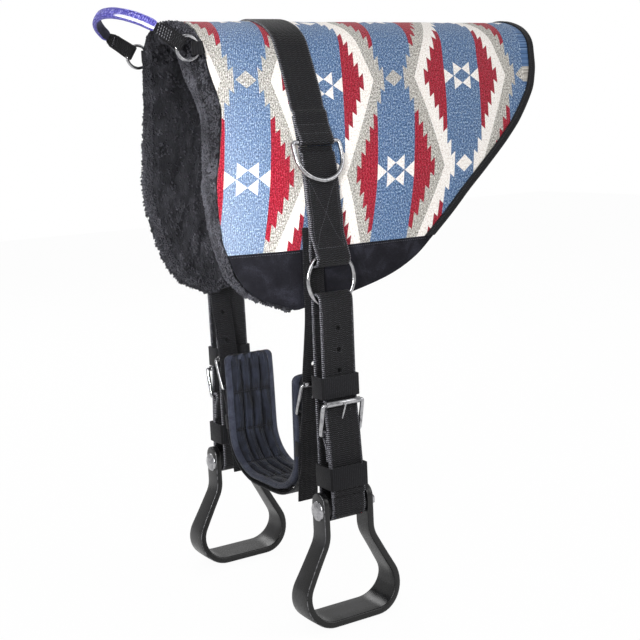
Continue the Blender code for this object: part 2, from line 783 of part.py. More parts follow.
def band(name, outline, drops, look, side, lean=0.0):
    """A keeper: a flat band bent along a closed (x, out) outline, between two drops.

    lean is how far inwards it moves for each unit of drop.
    """
    shift = lean * (drops[1] - drops[0])
    rings = []
    for place, normal in zip(outline, line_normals(outline, True)):
        inner = place - normal * KEEPER_THICK / 2
        outer = place + normal * KEEPER_THICK / 2
        ring = []
        for spot, drop, inwards in ((inner, drops[0], 0), (outer, drops[0], 0),
                                    (outer, drops[1], shift), (inner, drops[1], shift)):
            ring.append(to_world(spot.x, (spot.y - inwards, height(drop)), side))
        rings.append(ring)
    return finish(name, loft(rings, True), look)


def keeper_outline(x_mid, width, inner, outer):
    """Middle line of a keeper round straps that lie between two outs."""
    half = width / 2 + KEEPER_SIDE_ROOM + KEEPER_THICK / 2
    low = inner - LIFT_GAP - KEEPER_THICK / 2
    high = outer + LIFT_GAP + KEEPER_THICK / 2
    corners = [(x_mid - half, low), (x_mid + half, low), (x_mid + half, high), (x_mid - half, high)]
    return rounded(corners, [KEEPER_CORNER] * 4, True, 3)


# Stirrup straps

def strap_lines(buckle):
    """The stirrup strap's turned-back end, base, back and billet, as one line of points."""
    sleeve = Vector((SLEEVE_OUT, height(SLEEVE_DROP)))
    turn = SLEEVE_DIAMETER / 2 + GAP + STRAP_THICK / 2
    step = STRAP_THICK + LAYER_GAP
    heel = buckle.at(buckle.fold, 0)
    low = sleeve + Vector((turn, 0))
    base = (low - heel).normalized()
    inward = Vector((base.y, -base.x))
    inward = inward if inward.x < 0 else -inward
    back_end = heel + base * STRAP_TURN_BACK + inward * step
    back_mid = heel + base * STRAP_TURN_BACK / 2 + inward * step
    ring_fold = Vector((RING_OUT, height(RING_DROP) - RING_FOLD_RISE))
    bend = STRAP_THICK / 2 + RING_FOLD_ROOM
    rise = buckle.heel_rise - buckle.fold
    tail_top = heel + Vector((rise, 0))
    tail_length = (STRAP_TAIL_DROP - STRAP_HEEL_DROP) / -base.y
    tail_end = heel + base * tail_length - inward * step
    settle = heel + base * STRAP_TURN_BACK / 2 - inward * step
    path = [back_end, back_mid] + buckle.heel_fold()
    path += arc(sleeve, turn, 0, -180, 10)
    path += arc(ring_fold, bend, 180, 0, 8)
    path += [buckle.at(buckle.toe_rise, 2 * buckle.length), buckle.at(buckle.toe_rise, buckle.length)]
    path += [tail_top, settle, tail_end]
    return path


def make_stirrup_strap(side, looks):
    """Strap, buckle and keepers of one side; returns what swings on the ring."""
    end = side_name(side)
    buckle = strap_buckle(side)
    path = strap_lines(buckle)
    strap = ribbon("stirrup_strap_" + end, path, STRAP_WIDTH, STRAP_THICK, looks["web"], 0.0, side)
    cutter = buckle.strap_slot()
    buckle.billet_slot(cutter)
    front = RING_OUT + RING_FOLD_ROOM + STRAP_THICK / 2
    reach = STRAP_THICK / 2 + OVERRUN
    for drop in STRAP_HOLE_DROPS:
        start = to_world(0, (front - reach, height(drop)), side)
        add_cylinder(cutter, start, to_world(0, (front + reach, height(drop)), side), STRAP_HOLE / 2)
    tail = path[-2].lerp(path[-1], (TAIL_HOLE_SHARE * (path[-1] - path[-3]).length
                                    - (path[-2] - path[-3]).length) / (path[-1] - path[-2]).length)
    across = line_normals(path[-2:])[0]
    across = across if across.x > 0 else -across
    inner = tail - across * (STRAP_THICK + LAYER_GAP) / 2
    outer = tail + across * reach
    add_cylinder(cutter, to_world(0, inner, side), to_world(0, outer, side), STRAP_HOLE / 2)
    cut(strap, cutter)
    pieces = [strap, buckle.make_frame("strap_buckle_frame_" + end, looks["nickel"]),
              buckle.make_prong("strap_buckle_prong_" + end, looks["nickel"])]
    back = min(p.x for p in path) - STRAP_THICK / 2
    back_top = RING_OUT - RING_FOLD_ROOM - STRAP_THICK
    upper = keeper_outline(0, STRAP_WIDTH, min(back, back_top), front + STRAP_THICK / 2)
    lower = keeper_outline(0, STRAP_WIDTH, back, path[-1].x + STRAP_THICK / 2)
    pieces.append(band("strap_keeper_upper_" + end, upper, UPPER_KEEPER, looks["web"], side))
    pieces.append(band("strap_keeper_lower_" + end, lower, LOWER_KEEPER, looks["web"], side))
    roller = buckle.make_roller("strap_buckle_roller_" + end, looks["nickel"])
    carry(pivot("strap_roller_axis_" + end, buckle.world(0, buckle.toe_out, buckle.length)), [roller])
    return pieces


# Stirrups

def stirrup_path():
    """Middle line of the stirrup's bar, from ear to ear, about the bolt's axis."""
    neck = STIRRUP_NECK / 2
    corner = TREAD_CORNER_WIDTH / 2
    half = [(neck, EAR_RISE), (neck, -NECK_DROP), (corner, -TREAD_DROP)]
    corners = half + [(-x, z) for x, z in reversed(half)]
    radii = [0, NECK_FILLET, TREAD_FILLET, TREAD_FILLET, NECK_FILLET, 0]
    line = rounded(corners, radii, False, 6)
    ear = NECK_DEPTH / 2
    rises = [EAR_RISE - ear * (1 - math.cos(math.radians(a))) for a in (0, 25, 45, 65, 90)]
    start = [Vector((neck, z)) for z in rises]
    return start + line[1:-1] + [Vector((-p.x, p.y)) for p in reversed(start)]


def bar_depth(z):
    """Depth of the bar along Y: round at the ears, widest at the tread."""
    ear = NECK_DEPTH / 2
    over = z - (EAR_RISE - ear)
    if over > 0:
        return 2 * math.sqrt(max(ear ** 2 - over ** 2, STIRRUP_CHAMFER ** 2 * 4))
    t = min(max((-z - NECK_DROP) / (TREAD_DROP - NECK_DROP), 0), 1)
    return NECK_DEPTH + (TREAD_DEPTH - NECK_DEPTH) * t * t


def make_stirrup(side, looks):
    """Stirrup, bolt, nut and the sleeve on the bolt."""
    end = side_name(side)
    axis = Vector((0, side * SLEEVE_OUT, height(SLEEVE_DROP)))
    path = stirrup_path()
    rings = []
    for place, normal in zip(path, line_normals(path)):
        half = bar_depth(place.y) / 2
        thick = STIRRUP_BAR / 2
        soft = STIRRUP_CHAMFER
        profile = ((thick, half - soft), (thick - soft, half), (soft - thick, half), (-thick, half - soft),
                   (-thick, soft - half), (soft - thick, -half), (thick - soft, -half), (thick, soft - half))
        ring = []
        for across, deep in profile:
            spot = place + normal * across
            ring.append(axis + Vector((spot.x, deep, spot.y)))
        rings.append(ring)
    stirrup = finish("stirrup_" + end, loft(rings), looks["stirrup"])
    outer = STIRRUP_NECK / 2 + STIRRUP_BAR / 2
    inner = STIRRUP_NECK / 2 - STIRRUP_BAR / 2
    holes = bmesh.new()
    for way in (-1, 1):
        start = axis + Vector((way * (inner - OVERRUN), 0, 0))
        add_cylinder(holes, start, axis + Vector((way * (outer + OVERRUN), 0, 0)), BOLT_DIAMETER / 2 + GAP, 24)
    cut(stirrup, holes)
    shank = BOLT_DIAMETER / 2
    face = -outer - GAP
    tip = outer + NUT_HEIGHT / 2
    rim = BOLT_HEAD / 2
    dome = [(face - BOLT_DOME * math.sin(a), rim * math.cos(a))
            for a in (math.radians(d) for d in (90, 68, 45, 20))]
    profile = [(x, max(r, 0)) for x, r in dome] + [(face, rim), (face, shank), (tip, shank), (tip, 0)]
    profile[0] = (profile[0][0], 0)
    bolt = turned("stirrup_bolt_" + end, profile, axis, looks["nickel"])
    seat = outer + GAP
    bore = (shank + GAP) / math.cos(math.pi / NUT_SIDES)
    top = seat + NUT_HEIGHT
    nut_profile = [(seat, bore), (seat, NUT_ACROSS / 2), (top - GAP, NUT_ACROSS / 2),
                   (top, NUT_ACROSS / 3), (top, 0), (tip + GAP, 0), (tip + GAP, bore)]
    nut = turned("stirrup_nut_" + end, nut_profile, axis, looks["nickel"], NUT_SIDES)
    long = inner - GAP
    sleeve_profile = ((-long, shank + 2 * GAP), (-long, SLEEVE_DIAMETER / 2),
                      (long, SLEEVE_DIAMETER / 2), (long, shank + 2 * GAP))
    sleeve = turned("stirrup_sleeve_" + end, sleeve_profile, axis, looks["sleeve"])
    return [stirrup, bolt, nut], sleeve


def make_side_rigging(side, looks):
    """Rigging strap, D-ring, round ring, stirrup strap and stirrup of one side."""
    end = side_name(side)
    ribbon("rigging_strap_" + end, rigging_path(), STRAP_WIDTH, STRAP_THICK, looks["web"], 0.0, side)
    make_dring(side, looks["nickel"])
    middle = (RING_DIAMETER - RING_WIRE) / 2
    points = ring_points((0, height(RING_DROP)), middle, 24, side, RING_OUT)
    ring = wire("rigging_ring_" + end, points, RING_WIRE, looks["nickel"])
    carry(pivot("ring_axis_" + end, to_world(0, rigging_hinge(), side)), [ring])
    swinging = make_stirrup_strap(side, looks)
    hung, sleeve = make_stirrup(side, looks)
    carry(pivot("strap_axis_" + end, to_world(0, (RING_OUT, height(RING_DROP)), side)), swinging + [sleeve])
    carry(pivot("stirrup_axis_" + end, to_world(0, (SLEEVE_OUT, height(SLEEVE_DROP)), side)), hung)


def rigging_hinge():
    """Axis on which the round ring tips in the strap's fold."""
    middle = (RING_DIAMETER - RING_WIRE) / 2
    edge = math.sqrt(middle ** 2 - (STRAP_WIDTH / 2) ** 2)
    return Vector((RING_OUT, height(RING_DROP) + (middle + edge) / 2))


# Girth

def girth_line(offset, steps=6):
    """The U that the girth follows, moved outwards by an offset."""
    top = Vector((GIRTH_TOP_OUT, height(GIRTH_TOP_DROP)))
    low = Vector((GIRTH_LOW_OUT, height(GIRTH_LOW_DROP)))
    along = (low - top).normalized()
    outward = Vector((-along.y, along.x))
    bottom = low.y - offset
    top = top + outward * offset
    reach = (bottom - top.y) / along.y
    corner = top + along * reach
    corners = [top, corner, Vector((-corner.x, corner.y)), Vector((-top.x, top.y))]
    bend = GIRTH_BEND + offset
    return rounded(corners, [0, bend, bend, 0], False, steps)


def walk(line, distance):
    """Point and outward normal at a distance along a polyline."""
    normals = line_normals(line)
    for i in range(len(line) - 1):
        span = (line[i + 1] - line[i]).length
        if distance <= span or i == len(line) - 2:
            t = min(distance / span, 1)
            return line[i].lerp(line[i + 1], t), normals[i].lerp(normals[i + 1], t).normalized()
        distance -= span
    return None


def channel_profile():
    """(x, share of the crown) across the girth: a puffed lobe for each sewn channel."""
    inside = GIRTH_WIDTH - 2 * GIRTH_RIM
    channel = inside / GIRTH_CHANNELS
    points = [(-GIRTH_WIDTH / 2, 0)]
    for k in range(GIRTH_CHANNELS):
        start = -inside / 2 + k * channel
        for share, crown in CHANNEL_CROWN_SHARES:
            points.append((start + channel * share, crown))
    return points + [(inside / 2, 0), (GIRTH_WIDTH / 2, 0)]


def make_girth_pad(look):
    """The quilted pad of the girth, with lengthwise channels and cross seams."""
    line = girth_line(0.0, 12)
    total = sum((b - a).length for a, b in zip(line, line[1:]))
    block = total / GIRTH_BLOCKS
    seam = GIRTH_THICK / 2 * GIRTH_SEAM_SHARE
    crown = GIRTH_THICK / 2 - seam
    stations = []
    for k in range(GIRTH_BLOCKS):
        stations += [((k + share) * block, puff) for share, puff in BLOCK_PUFF_SHARES]
    stations.append((total, BLOCK_PUFF_SHARES[0][1]))
    rings = []
    for distance, puff in stations:
        place, normal = walk(line, distance)
        upper = [(x, seam + crown * share * puff) for x, share in channel_profile()]
        ring = [Vector((GIRTH_X + x, *(place + normal * h))) for x, h in upper]
        ring += [Vector((GIRTH_X + x, *(place - normal * h))) for x, h in reversed(upper)]
        rings.append(ring)
    return finish("girth_pad", loft(rings), look, 60)


def make_girth(looks):
    """Billets, buckles, keepers, web and pad: one buckled loop that swings on the sewn billets."""
    pieces = [make_girth_pad(looks["navy"])]
    offset = GIRTH_THICK / 2 + WEB_STANDOFF + WEB_THICK / 2
    under = girth_line(offset, 8)
    half_web = []
    for side in (1, -1):
        buckle = girth_buckle(side)
        heel = buckle.at(buckle.fold, 0)
        meet = Vector((girth_out(offset, WEB_MEET_DROP), height(WEB_MEET_DROP)))
        along = (meet - heel).normalized()
        inward = Vector((along.y, -along.x))
        inward = inward if inward.x < 0 else -inward
        back_end = heel + along * WEB_TURN_BACK + inward * (WEB_THICK + LAYER_GAP)
        half = [back_end] + buckle.heel_fold() + [meet]
        half_web.append(half)
        pieces += make_girth_side(side, buckle, heel, meet, looks)
    left = [Vector((-p.x, p.y)) for p in half_web[1]]
    middle = [p for p in under[1:-1]]
    web = ribbon("girth_web", half_web[0] + middle + list(reversed(left)), BILLET_WIDTH, WEB_THICK,
                 looks["web"], BILLET_X)
    slots = bmesh.new()
    for side in (1, -1):
        buckle = girth_buckle(side)
        reach = buckle.prong / 2 + PRONG_SIDE_ROOM
        add_cylinder(slots, buckle.world(-reach, 0, 0), buckle.world(reach, 0, 0),
                     buckle.fold + buckle.prong / 2 + GAP, 24)
    cut(web, slots)
    pieces.append(web)
    carry(pivot("girth_axis", (BILLET_X, 0, height(GIRTH_PIVOT_DROP))), pieces)


def girth_out(offset, drop):
    """Out of the girth's straight side, moved outwards by an offset, at a drop."""
    line = girth_line(offset)
    top, low = line[0], line[1]
    share = (height(drop) - top.y) / (low.y - top.y)
    return top.x + (low.x - top.x) * share


def make_girth_side(side, buckle, heel, meet, looks):
    """Billet, buckle and keeper of one end of the girth."""
    end = side_name(side)
    flat = LIFT_GAP + STRAP_THICK / 2
    top = arc_at(BILLET_TOP_DROP)
    rows = [a for a in cover_arcs() + panel_arcs()[1:2] if a > top]
    path = [over_pad(top, flat)] + [over_pad(a, flat) for a in rows]
    path += [Vector((BILLET_PASS_OUT, height(BILLET_PASS_DROP))),
             Vector((BILLET_BEND_OUT, height(BILLET_BEND_DROP)))]
    path += buckle.billet_points()
    step = (STRAP_THICK + WEB_THICK) / 2 + LIFT_GAP
    path.append(meet + Vector((step, -step / 4)))
    path.append(Vector((BILLET_TAIL_OUT, height(BILLET_TAIL_DROP))))
    billet = ribbon("billet_" + end, path, BILLET_WIDTH, STRAP_THICK, looks["web"], BILLET_X, side)
    cutter = bmesh.new()
    buckle.billet_slot(cutter)
    start = path[-5]
    finish_point = path[-4]
    for drop in BILLET_HOLE_DROPS:
        place = start.lerp(finish_point, (height(drop) - start.y) / (finish_point.y - start.y))
        reach = Vector((STRAP_THICK / 2 + OVERRUN, 0))
        add_cylinder(cutter, to_world(BILLET_X, place - reach, side), to_world(BILLET_X, place + reach, side),
                     STRAP_HOLE / 2)
    cut(billet, cutter)
    roller = buckle.make_roller("girth_buckle_roller_" + end, looks["nickel"])
    carry(pivot("girth_roller_axis_" + end, buckle.world(0, buckle.toe_out, buckle.length)), [roller])
    low_web = girth_out(GIRTH_THICK / 2 + WEB_STANDOFF, GIRTH_KEEPER[0])
    lean = (low_web - girth_out(GIRTH_THICK / 2 + WEB_STANDOFF, GIRTH_KEEPER[1]))
    lean /= GIRTH_KEEPER[1] - GIRTH_KEEPER[0]
    tail_top, tail_end = path[-2], path[-1]
    share = (height(GIRTH_KEEPER[0]) - tail_top.y) / (tail_end.y - tail_top.y)
    high = tail_top.lerp(tail_end, share).x + STRAP_THICK / 2
    outline = keeper_outline(BILLET_X, BILLET_WIDTH, low_web, high)
    return [billet, buckle.make_frame("girth_buckle_frame_" + end, looks["nickel"]),
            buckle.make_prong("girth_buckle_prong_" + end, looks["nickel"]),
            band("girth_keeper_" + end, outline, GIRTH_KEEPER, looks["web"], side, lean)]


# Hand hold

def handle_point(out, reach, across=0.0):
    """A point of the hand hold's own plane, which leans up and forward from its rings."""
    forward = Vector((-math.cos(HANDLE_TILT), 0, math.sin(HANDLE_TILT)))
    square = Vector((math.sin(HANDLE_TILT), 0, math.cos(HANDLE_TILT)))
    start = Vector((HANDLE_RING_X, out, height(HANDLE_RING_DROP)))
    return start + forward * reach + square * across


def handle_fold():
    """How far from the ring's centre the web's fold sits, and the fold's radius."""
    middle = (HANDLE_RING_DIAMETER - HANDLE_RING_WIRE) / 2
    near = math.sqrt(middle ** 2 - (HANDLE_WEB_WIDTH / 2) ** 2)
    near -= HANDLE_RING_WIRE / 2 * (middle / near - 1) + 2 * GAP
    return near, HANDLE_RING_WIRE / 2 + GAP + HANDLE_WEB_THICK / 2


def handle_bow(steps=20):
    """The bowed middle line of the hand hold, as (out, reach)."""
    half = HANDLE_RING_OUT + (HANDLE_WEB_THICK + LAYER_GAP) / 2
    rise = HANDLE_REACH - HANDLE_SHOULDER
    return [Vector((half * math.cos(math.pi * k / steps), HANDLE_SHOULDER + rise * math.sin(math.pi * k / steps)))
            for k in range(steps + 1)]


def make_handle(looks):
    """Web round both rings, the blue grip sleeve over it, the rings and their tabs."""
    near, bend = handle_fold()
    step = (HANDLE_WEB_THICK + LAYER_GAP) / 2
    clear = HANDLE_RING_DIAMETER / 2 + GAP
    join = HANDLE_SHOULDER - 4 * step
    end = [Vector((HANDLE_RING_OUT - step, HANDLE_SHOULDER + step)), Vector((HANDLE_RING_OUT - step, join)),
           Vector((HANDLE_RING_OUT - bend, clear))]
    end += arc((HANDLE_RING_OUT, near), bend, 180, 360, 8)
    end += [Vector((HANDLE_RING_OUT + bend, clear)), Vector((HANDLE_RING_OUT + step, join))]
    bow = handle_bow()
    path = end + bow + [Vector((-p.x, p.y)) for p in reversed(end)]
    rings = []
    for place, normal in zip(path, line_normals(path)):
        outer = place + normal * HANDLE_WEB_THICK / 2
        inner = place - normal * HANDLE_WEB_THICK / 2
        half = HANDLE_WEB_WIDTH / 2
        rings.append([handle_point(outer.x, outer.y, -half), handle_point(outer.x, outer.y, half),
                      handle_point(inner.x, inner.y, half), handle_point(inner.x, inner.y, -half)])
    web = finish("handle_web", loft(rings), looks["web"])
    cover = make_handle_cover(bow, looks["blue"])
    pieces = [web, cover]
    middle = (HANDLE_RING_DIAMETER - HANDLE_RING_WIRE) / 2
    for side in (-1, 1):
        centre = (HANDLE_RING_X, height(HANDLE_RING_DROP))
        points = ring_points(centre, middle, 18, side, HANDLE_RING_OUT)
        pieces.append(wire("handle_ring_" + side_name(side), points, HANDLE_RING_WIRE, looks["nickel"], True, 1))
        make_tab(side, looks["web"])
    carry(pivot("handle_axis", (HANDLE_RING_X, 0, height(HANDLE_RING_DROP))), pieces)


def make_handle_cover(bow, look):
    """A hollow padded sleeve round the middle of the web."""
    stations = [(p, n) for p, n in zip(bow, line_normals(bow)) if p.y > HANDLE_COVER_START]
    wide = HANDLE_COVER_WIDTH / 2
    thick = HANDLE_COVER_THICK / 2
    corner = thick * 0.7
    outer_profile = ((thick, wide - corner), (thick - corner / 2, wide), (corner / 2 - thick, wide),
                     (-thick, wide - corner), (-thick, corner - wide), (corner / 2 - thick, -wide),
                     (thick - corner / 2, -wide), (thick, corner - wide))
    slim = HANDLE_WEB_THICK / 2 + LAYER_GAP
    slot = HANDLE_WEB_WIDTH / 2 + LAYER_GAP
    inner_profile = ((slim, slot - slim), (slim, slot), (-slim, slot), (-slim, slot - slim),
                     (-slim, slim - slot), (-slim, -slot), (slim, -slot), (slim, slim - slot))
    bm = bmesh.new()
    shells = []
    for profile in (outer_profile, inner_profile):
        loops = []
        for place, normal in stations:
            loop = []
            for across, deep in profile:
                spot = place + normal * across
                loop.append(bm.verts.new(handle_point(spot.x, spot.y, deep)))
            loops.append(loop)
        shells.append(loops)
    count = len(outer_profile)
    for loops in shells:
        for low, high in zip(loops, loops[1:]):
            for k in range(count):
                bm.faces.new((low[k], low[(k + 1) % count], high[(k + 1) % count], high[k]))
    for end in (0, -1):
        outside, inside = shells[0][end], shells[1][end]
        for k in range(count):
            bm.faces.new((outside[k], outside[(k + 1) % count], inside[(k + 1) % count], inside[k]))
    return finish("handle_cover", bm, look)


def twist(start, end, steps=4):
    """Stations between two others, along which a strap turns from one lie to the next."""
    shares = [k / steps for k in range(1, steps)]
    return [(start[0].lerp(end[0], t), start[1].lerp(end[1], t).normalized()) for t in shares]


def make_tab(side, look):
    """The tab that holds a handle ring: sewn flat to the pad, it twists upright round the ring."""
    near, _ = handle_fold()
    bend = HANDLE_RING_WIRE / 2 + GAP + TAB_THICK / 2
    arc_length = arc_at(HANDLE_RING_DROP)
    flat = LAYER_GAP + TAB_THICK / 2
    step = TAB_THICK + LAYER_GAP
    slope = on_pad(TAB_END_X, arc_length + step) - on_pad(TAB_END_X, arc_length - step)
    lying = Vector((0, slope.y, slope.z)).normalized()
    upright = Vector((0, 0, -1))
    level = height(HANDLE_RING_DROP)
    clear = HANDLE_RING_X + HANDLE_RING_DIAMETER / 2 + LIFT_GAP
    turn = [Vector((clear, HANDLE_RING_OUT - bend))]
    turn += arc((HANDLE_RING_X + near, HANDLE_RING_OUT), bend, 270, 90, 8)
    turn.append(Vector((clear, HANDLE_RING_OUT + bend)))
    sewn = [TAB_END_X, (TAB_END_X + TAB_MEET_X) / 2, TAB_MEET_X]
    start = [(on_pad(x, arc_length, 0, -flat), lying) for x in sewn]
    sewn[-1] += TAB_STAGGER
    end = [(on_pad(x, arc_length, 0, -flat - step), lying) for x in reversed(sewn)]
    loop = [(Vector((p.x, p.y, level)), upright) for p in turn]
    stations = start + twist(start[-1], loop[0]) + loop + twist(loop[-1], end[0]) + end
    rings = []
    for i, (place, across) in enumerate(stations):
        before = stations[max(i - 1, 0)][0]
        after = stations[min(i + 1, len(stations) - 1)][0]
        along = (after - before).normalized()
        normal = along.cross(across).normalized() * TAB_THICK / 2
        half = across * TAB_WIDTH / 2
        ring = [place + normal + half, place + normal - half, place - normal - half, place - normal + half]
        rings.append([Vector((p.x, side * p.y, p.z)) for p in ring])
    finish("handle_tab_" + side_name(side), loft(rings), look)


def main():
    clear_scene()
    looks = make_materials()
    make_pad(looks)
    make_surcingle(looks["web"])
    for side in (-1, 1):
        make_side_rigging(side, looks)
    make_girth(looks)
    make_handle(looks)


main()
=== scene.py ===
"""Looks of a bareback riding pad: woven blanket over fleece, straps, quilted girth, hand hold and stirrups.

Lengths are in metres, and names that end in MM are in millimetres. The frame is the CAD's: X runs along
the horse's back with the withers at -X, +Y is the horse's right, +Z is up, and the origin lies under the
ridge of the pad. A drop is a distance below the top of the ridge, an arc a distance over the pad from it.
"""

import json
import math
import random

import bmesh
import bpy
import numpy as np
from mathutils import Matrix, Vector, noise
from mathutils.bvhtree import BVHTree

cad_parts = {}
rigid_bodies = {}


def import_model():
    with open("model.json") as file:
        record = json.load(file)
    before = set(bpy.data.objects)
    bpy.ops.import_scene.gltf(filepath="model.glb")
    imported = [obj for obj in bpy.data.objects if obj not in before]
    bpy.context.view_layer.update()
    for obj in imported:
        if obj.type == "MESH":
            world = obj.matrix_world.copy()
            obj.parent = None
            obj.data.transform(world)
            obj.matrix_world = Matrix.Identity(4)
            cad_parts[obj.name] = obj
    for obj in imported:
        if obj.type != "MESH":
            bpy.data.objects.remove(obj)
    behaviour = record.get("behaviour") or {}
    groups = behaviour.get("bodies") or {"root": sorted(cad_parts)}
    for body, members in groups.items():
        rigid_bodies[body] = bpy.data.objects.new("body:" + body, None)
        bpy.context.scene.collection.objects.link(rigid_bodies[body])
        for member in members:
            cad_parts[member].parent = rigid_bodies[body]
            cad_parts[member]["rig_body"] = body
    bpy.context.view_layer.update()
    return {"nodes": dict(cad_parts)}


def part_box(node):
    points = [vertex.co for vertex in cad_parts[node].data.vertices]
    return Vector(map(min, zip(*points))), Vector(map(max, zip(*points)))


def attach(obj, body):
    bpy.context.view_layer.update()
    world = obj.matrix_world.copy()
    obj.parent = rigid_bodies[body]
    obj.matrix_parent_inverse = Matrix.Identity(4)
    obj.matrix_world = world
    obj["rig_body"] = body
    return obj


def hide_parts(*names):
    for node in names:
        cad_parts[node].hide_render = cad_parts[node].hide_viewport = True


# Photograph: image side in pixels, then the camera's place and aim
IMAGE_SIDE = 640
FOCAL_PIXELS = 1200.67
SENSOR_MM = 36
CAMERA_PLACE = (-0.80385, -1.40124, -0.10865)
CAMERA_TURN = math.radians(-31.96)
CAMERA_PITCH = math.radians(9.35)
CAMERA_ROLL = math.radians(-2.70)

# Pad
PAD_THICK = 0.0251
PAD_FRONT = 0.147
PAD_REAR = 0.415
PAD_DROP = 0.366
PAD_HALF_WIDTH = 0.130
COVER_THICK = 0.0025
LAYER_GAP = 0.0004
PLY_GAP = 0.0006
FOAM_REACH = 0.0104
FLEECE_START = 0.0112
NARROW_FROM = 0.040
NARROW_SHARE = 0.15
PINCH_REACH = 0.025
PINCH_SHARE = 0.35
PANEL_DROP = 0.289
BINDING_THICK = 0.0015
RIPPLE = 0.0011
STRAP_CLEAR = 0.030
BILLET_CLEAR = 0.034
PANEL_SEAM_IN = 0.003

# Fleece: how many locks lie on the roll at the front, hang at the lower edges and cover the inside
ROLL_LOCKS = 9000
EDGE_LOCKS = 1500
INSIDE_LOCKS = 6500

# Cross-section of the pad: out as a share of its half width, drop as a share of its drop
SECTION_SHARES = ((0, 0), (0.31, 0.025), (0.51, 0.074), (0.62, 0.150), (0.76, 0.270),
                  (0.87, 0.391), (0.954, 0.519), (0.992, 0.615), (1, 0.746),
                  (0.985, 0.847), (0.940, 0.956), (0.905, 1))
# Side outline: drop as a share of the pad's drop, X as a share of its front or rear reach
FRONT_SHARES = ((0, 1), (0.16, 0.980), (0.25, 0.952), (0.34, 0.937), (0.57, 0.937), (0.66, 0.905),
                (0.75, 0.850), (0.84, 0.776), (0.89, 0.714), (0.93, 0.640), (0.955, 0.558),
                (0.975, 0.449), (1, 0.293))
REAR_SHARES = ((0, 1), (0.10, 0.986), (0.19, 0.964), (0.27, 0.928), (0.33, 0.884), (0.40, 0.827),
               (0.475, 0.752), (0.555, 0.663), (0.635, 0.578), (0.72, 0.499), (0.795, 0.422),
               (0.85, 0.371), (0.89, 0.318), (0.93, 0.241), (0.96, 0.130), (0.98, 0.063), (1, -0.104))

# Blanket pattern: columns of motifs a spacing apart, in two rows; the cloth is pulled a little askew, so
# each column has its own X on the first row, lean towards the front, and shift down on both rows
MOTIF_SPACING = 0.110
MOTIF_ARC = 0.133
MOTIF_ROW = 0.122
MOTIF_X = (-0.0745, 0.0355, 0.1457, 0.2617)
MOTIF_LEAN = (0.170, 0.200, 0.215, 0.225)
MOTIF_SHIFT = ((-0.0035, 0.0095, -0.0005, -0.0015), (0.0, 0.004, 0.003, -0.001))
# A motif's own shapes, measured out from its middle: half of the blue stripe, then the red steps with the
# width, rise and slant of each and the reach of the last; the diamond's half width and half height
STRIPE_MM = 29.0
STEPS = 5
STEP_MM = 6.56
STEP_RISE_MM = 16.3
STEP_SLANT_MM = 5.6
LAST_STEP_MM = 12.4
DIAMOND_MM = (13.6, 11.6)
# The star: two ears that end at a distance out, round a hollow, and the wings beside them
EAR_MM = 13.6
EAR_SLOPE = 0.70
HOLLOW_MM = (13.9, 10.4)
WING_SLOPE = 0.74
WING_START_MM = 10.6
# The line between the grey and the cream of the lattice, its lean, and the pitch of the woven ribs
LATTICE_MM = 77.6
LATTICE_LEAN = 0.3705
RIB_MM = 2.4

# Girth
GIRTH_X = 0.004
GIRTH_WIDTH = 0.077
GIRTH_RIM = 0.008
GIRTH_TOP = (0.0942, PAD_THICK - 0.455)
GIRTH_LOW = (0.0762, PAD_THICK - 0.617)
GIRTH_BEND = 0.060
GIRTH_CHANNELS = 4
GIRTH_BLOCKS = 8
GIRTH_CORNER = 0.009
GIRTH_SPREAD = 0.12

# Stirrup
SLEEVE_OUT = 0.1474
SLEEVE_HEIGHT = PAD_THICK - 0.622
STIRRUP_BAR = 0.009
STIRRUP_NECK = 0.067
EAR_RISE = 0.023
NECK_DROP = 0.039
TREAD_DROP = 0.1455
TREAD_CORNER_WIDTH = 0.185
NECK_FILLET = 0.042
TREAD_FILLET = 0.035
NECK_DEPTH = 0.030
TREAD_DEPTH = 0.051
FIT_GAP = 0.0003

# Hand hold
HANDLE_X = -0.1446
HANDLE_OUT = 0.0736
HANDLE_HEIGHT = PAD_THICK - 0.039
HANDLE_TILT = math.radians(32.6)
HANDLE_SHOULDER = 0.035
HANDLE_REACH = 0.087
HANDLE_COVER_START = 0.047
HANDLE_COVER_WIDTH = 0.0145
HANDLE_COVER_THICK = 0.0076
GRIP_AROUND = 0.036
TAB_TUCK = -0.126
TAB_SHOWN = 0.10

# Half width of the broad straps, and what is sewn and punched in them
WIDE_WEB = 0.025
STRAP_PITCH = 0.0034
STRAP_SEAM_OUT = 0.0218
HOLE_RADIUS = 0.003
STRAP_HOLE_DROPS = (0.389, 0.416, 0.443)
BILLET_HOLE_DROPS = (0.397, 0.437)
BILLET_HOLE_X = -0.017
FOLD_DROPS = (0.136, 0.147)
BOX_HALF = 0.020
BOX_DROPS = (0.203, 0.288)
STRAP_SEAM_DROPS = ((0.366, 0.505), (0.530, 0.600))

# Wire of the rings and buckles
RING_WIRE = 0.0055
SMALL_WIRE = 0.0045
PRONG_WIRE = 0.004

SIDES = ((-1, "left"), (1, "right"))


# Materials. A noise's scale counts features in a metre, so 900 is a grain of about 1 mm. The flat
# coordinates are metres on straps, and columns and rows of motifs on the blanket.

def linear(colour):
    """An sRGB hex colour as a linear one with alpha."""
    parts = [int(colour[i:i + 2], 16) / 255 for i in (0, 2, 4)]
    return (*(p / 12.92 if p <= 0.04045 else ((p + 0.055) / 1.055) ** 2.4 for p in parts), 1)


def add(tree, kind, settings=(), links=()):
    """Add a node, set its properties and sockets, link its inputs, and give its first output."""
    made = tree.nodes.new("ShaderNode" + kind)
    for name, value in dict(settings).items():
        if isinstance(name, str) and hasattr(made, name):
            setattr(made, name, value)
        else:
            made.inputs[name].default_value = value
    for socket, source in dict(links).items():
        tree.links.new(source, made.inputs[socket])
    return made.outputs[0]


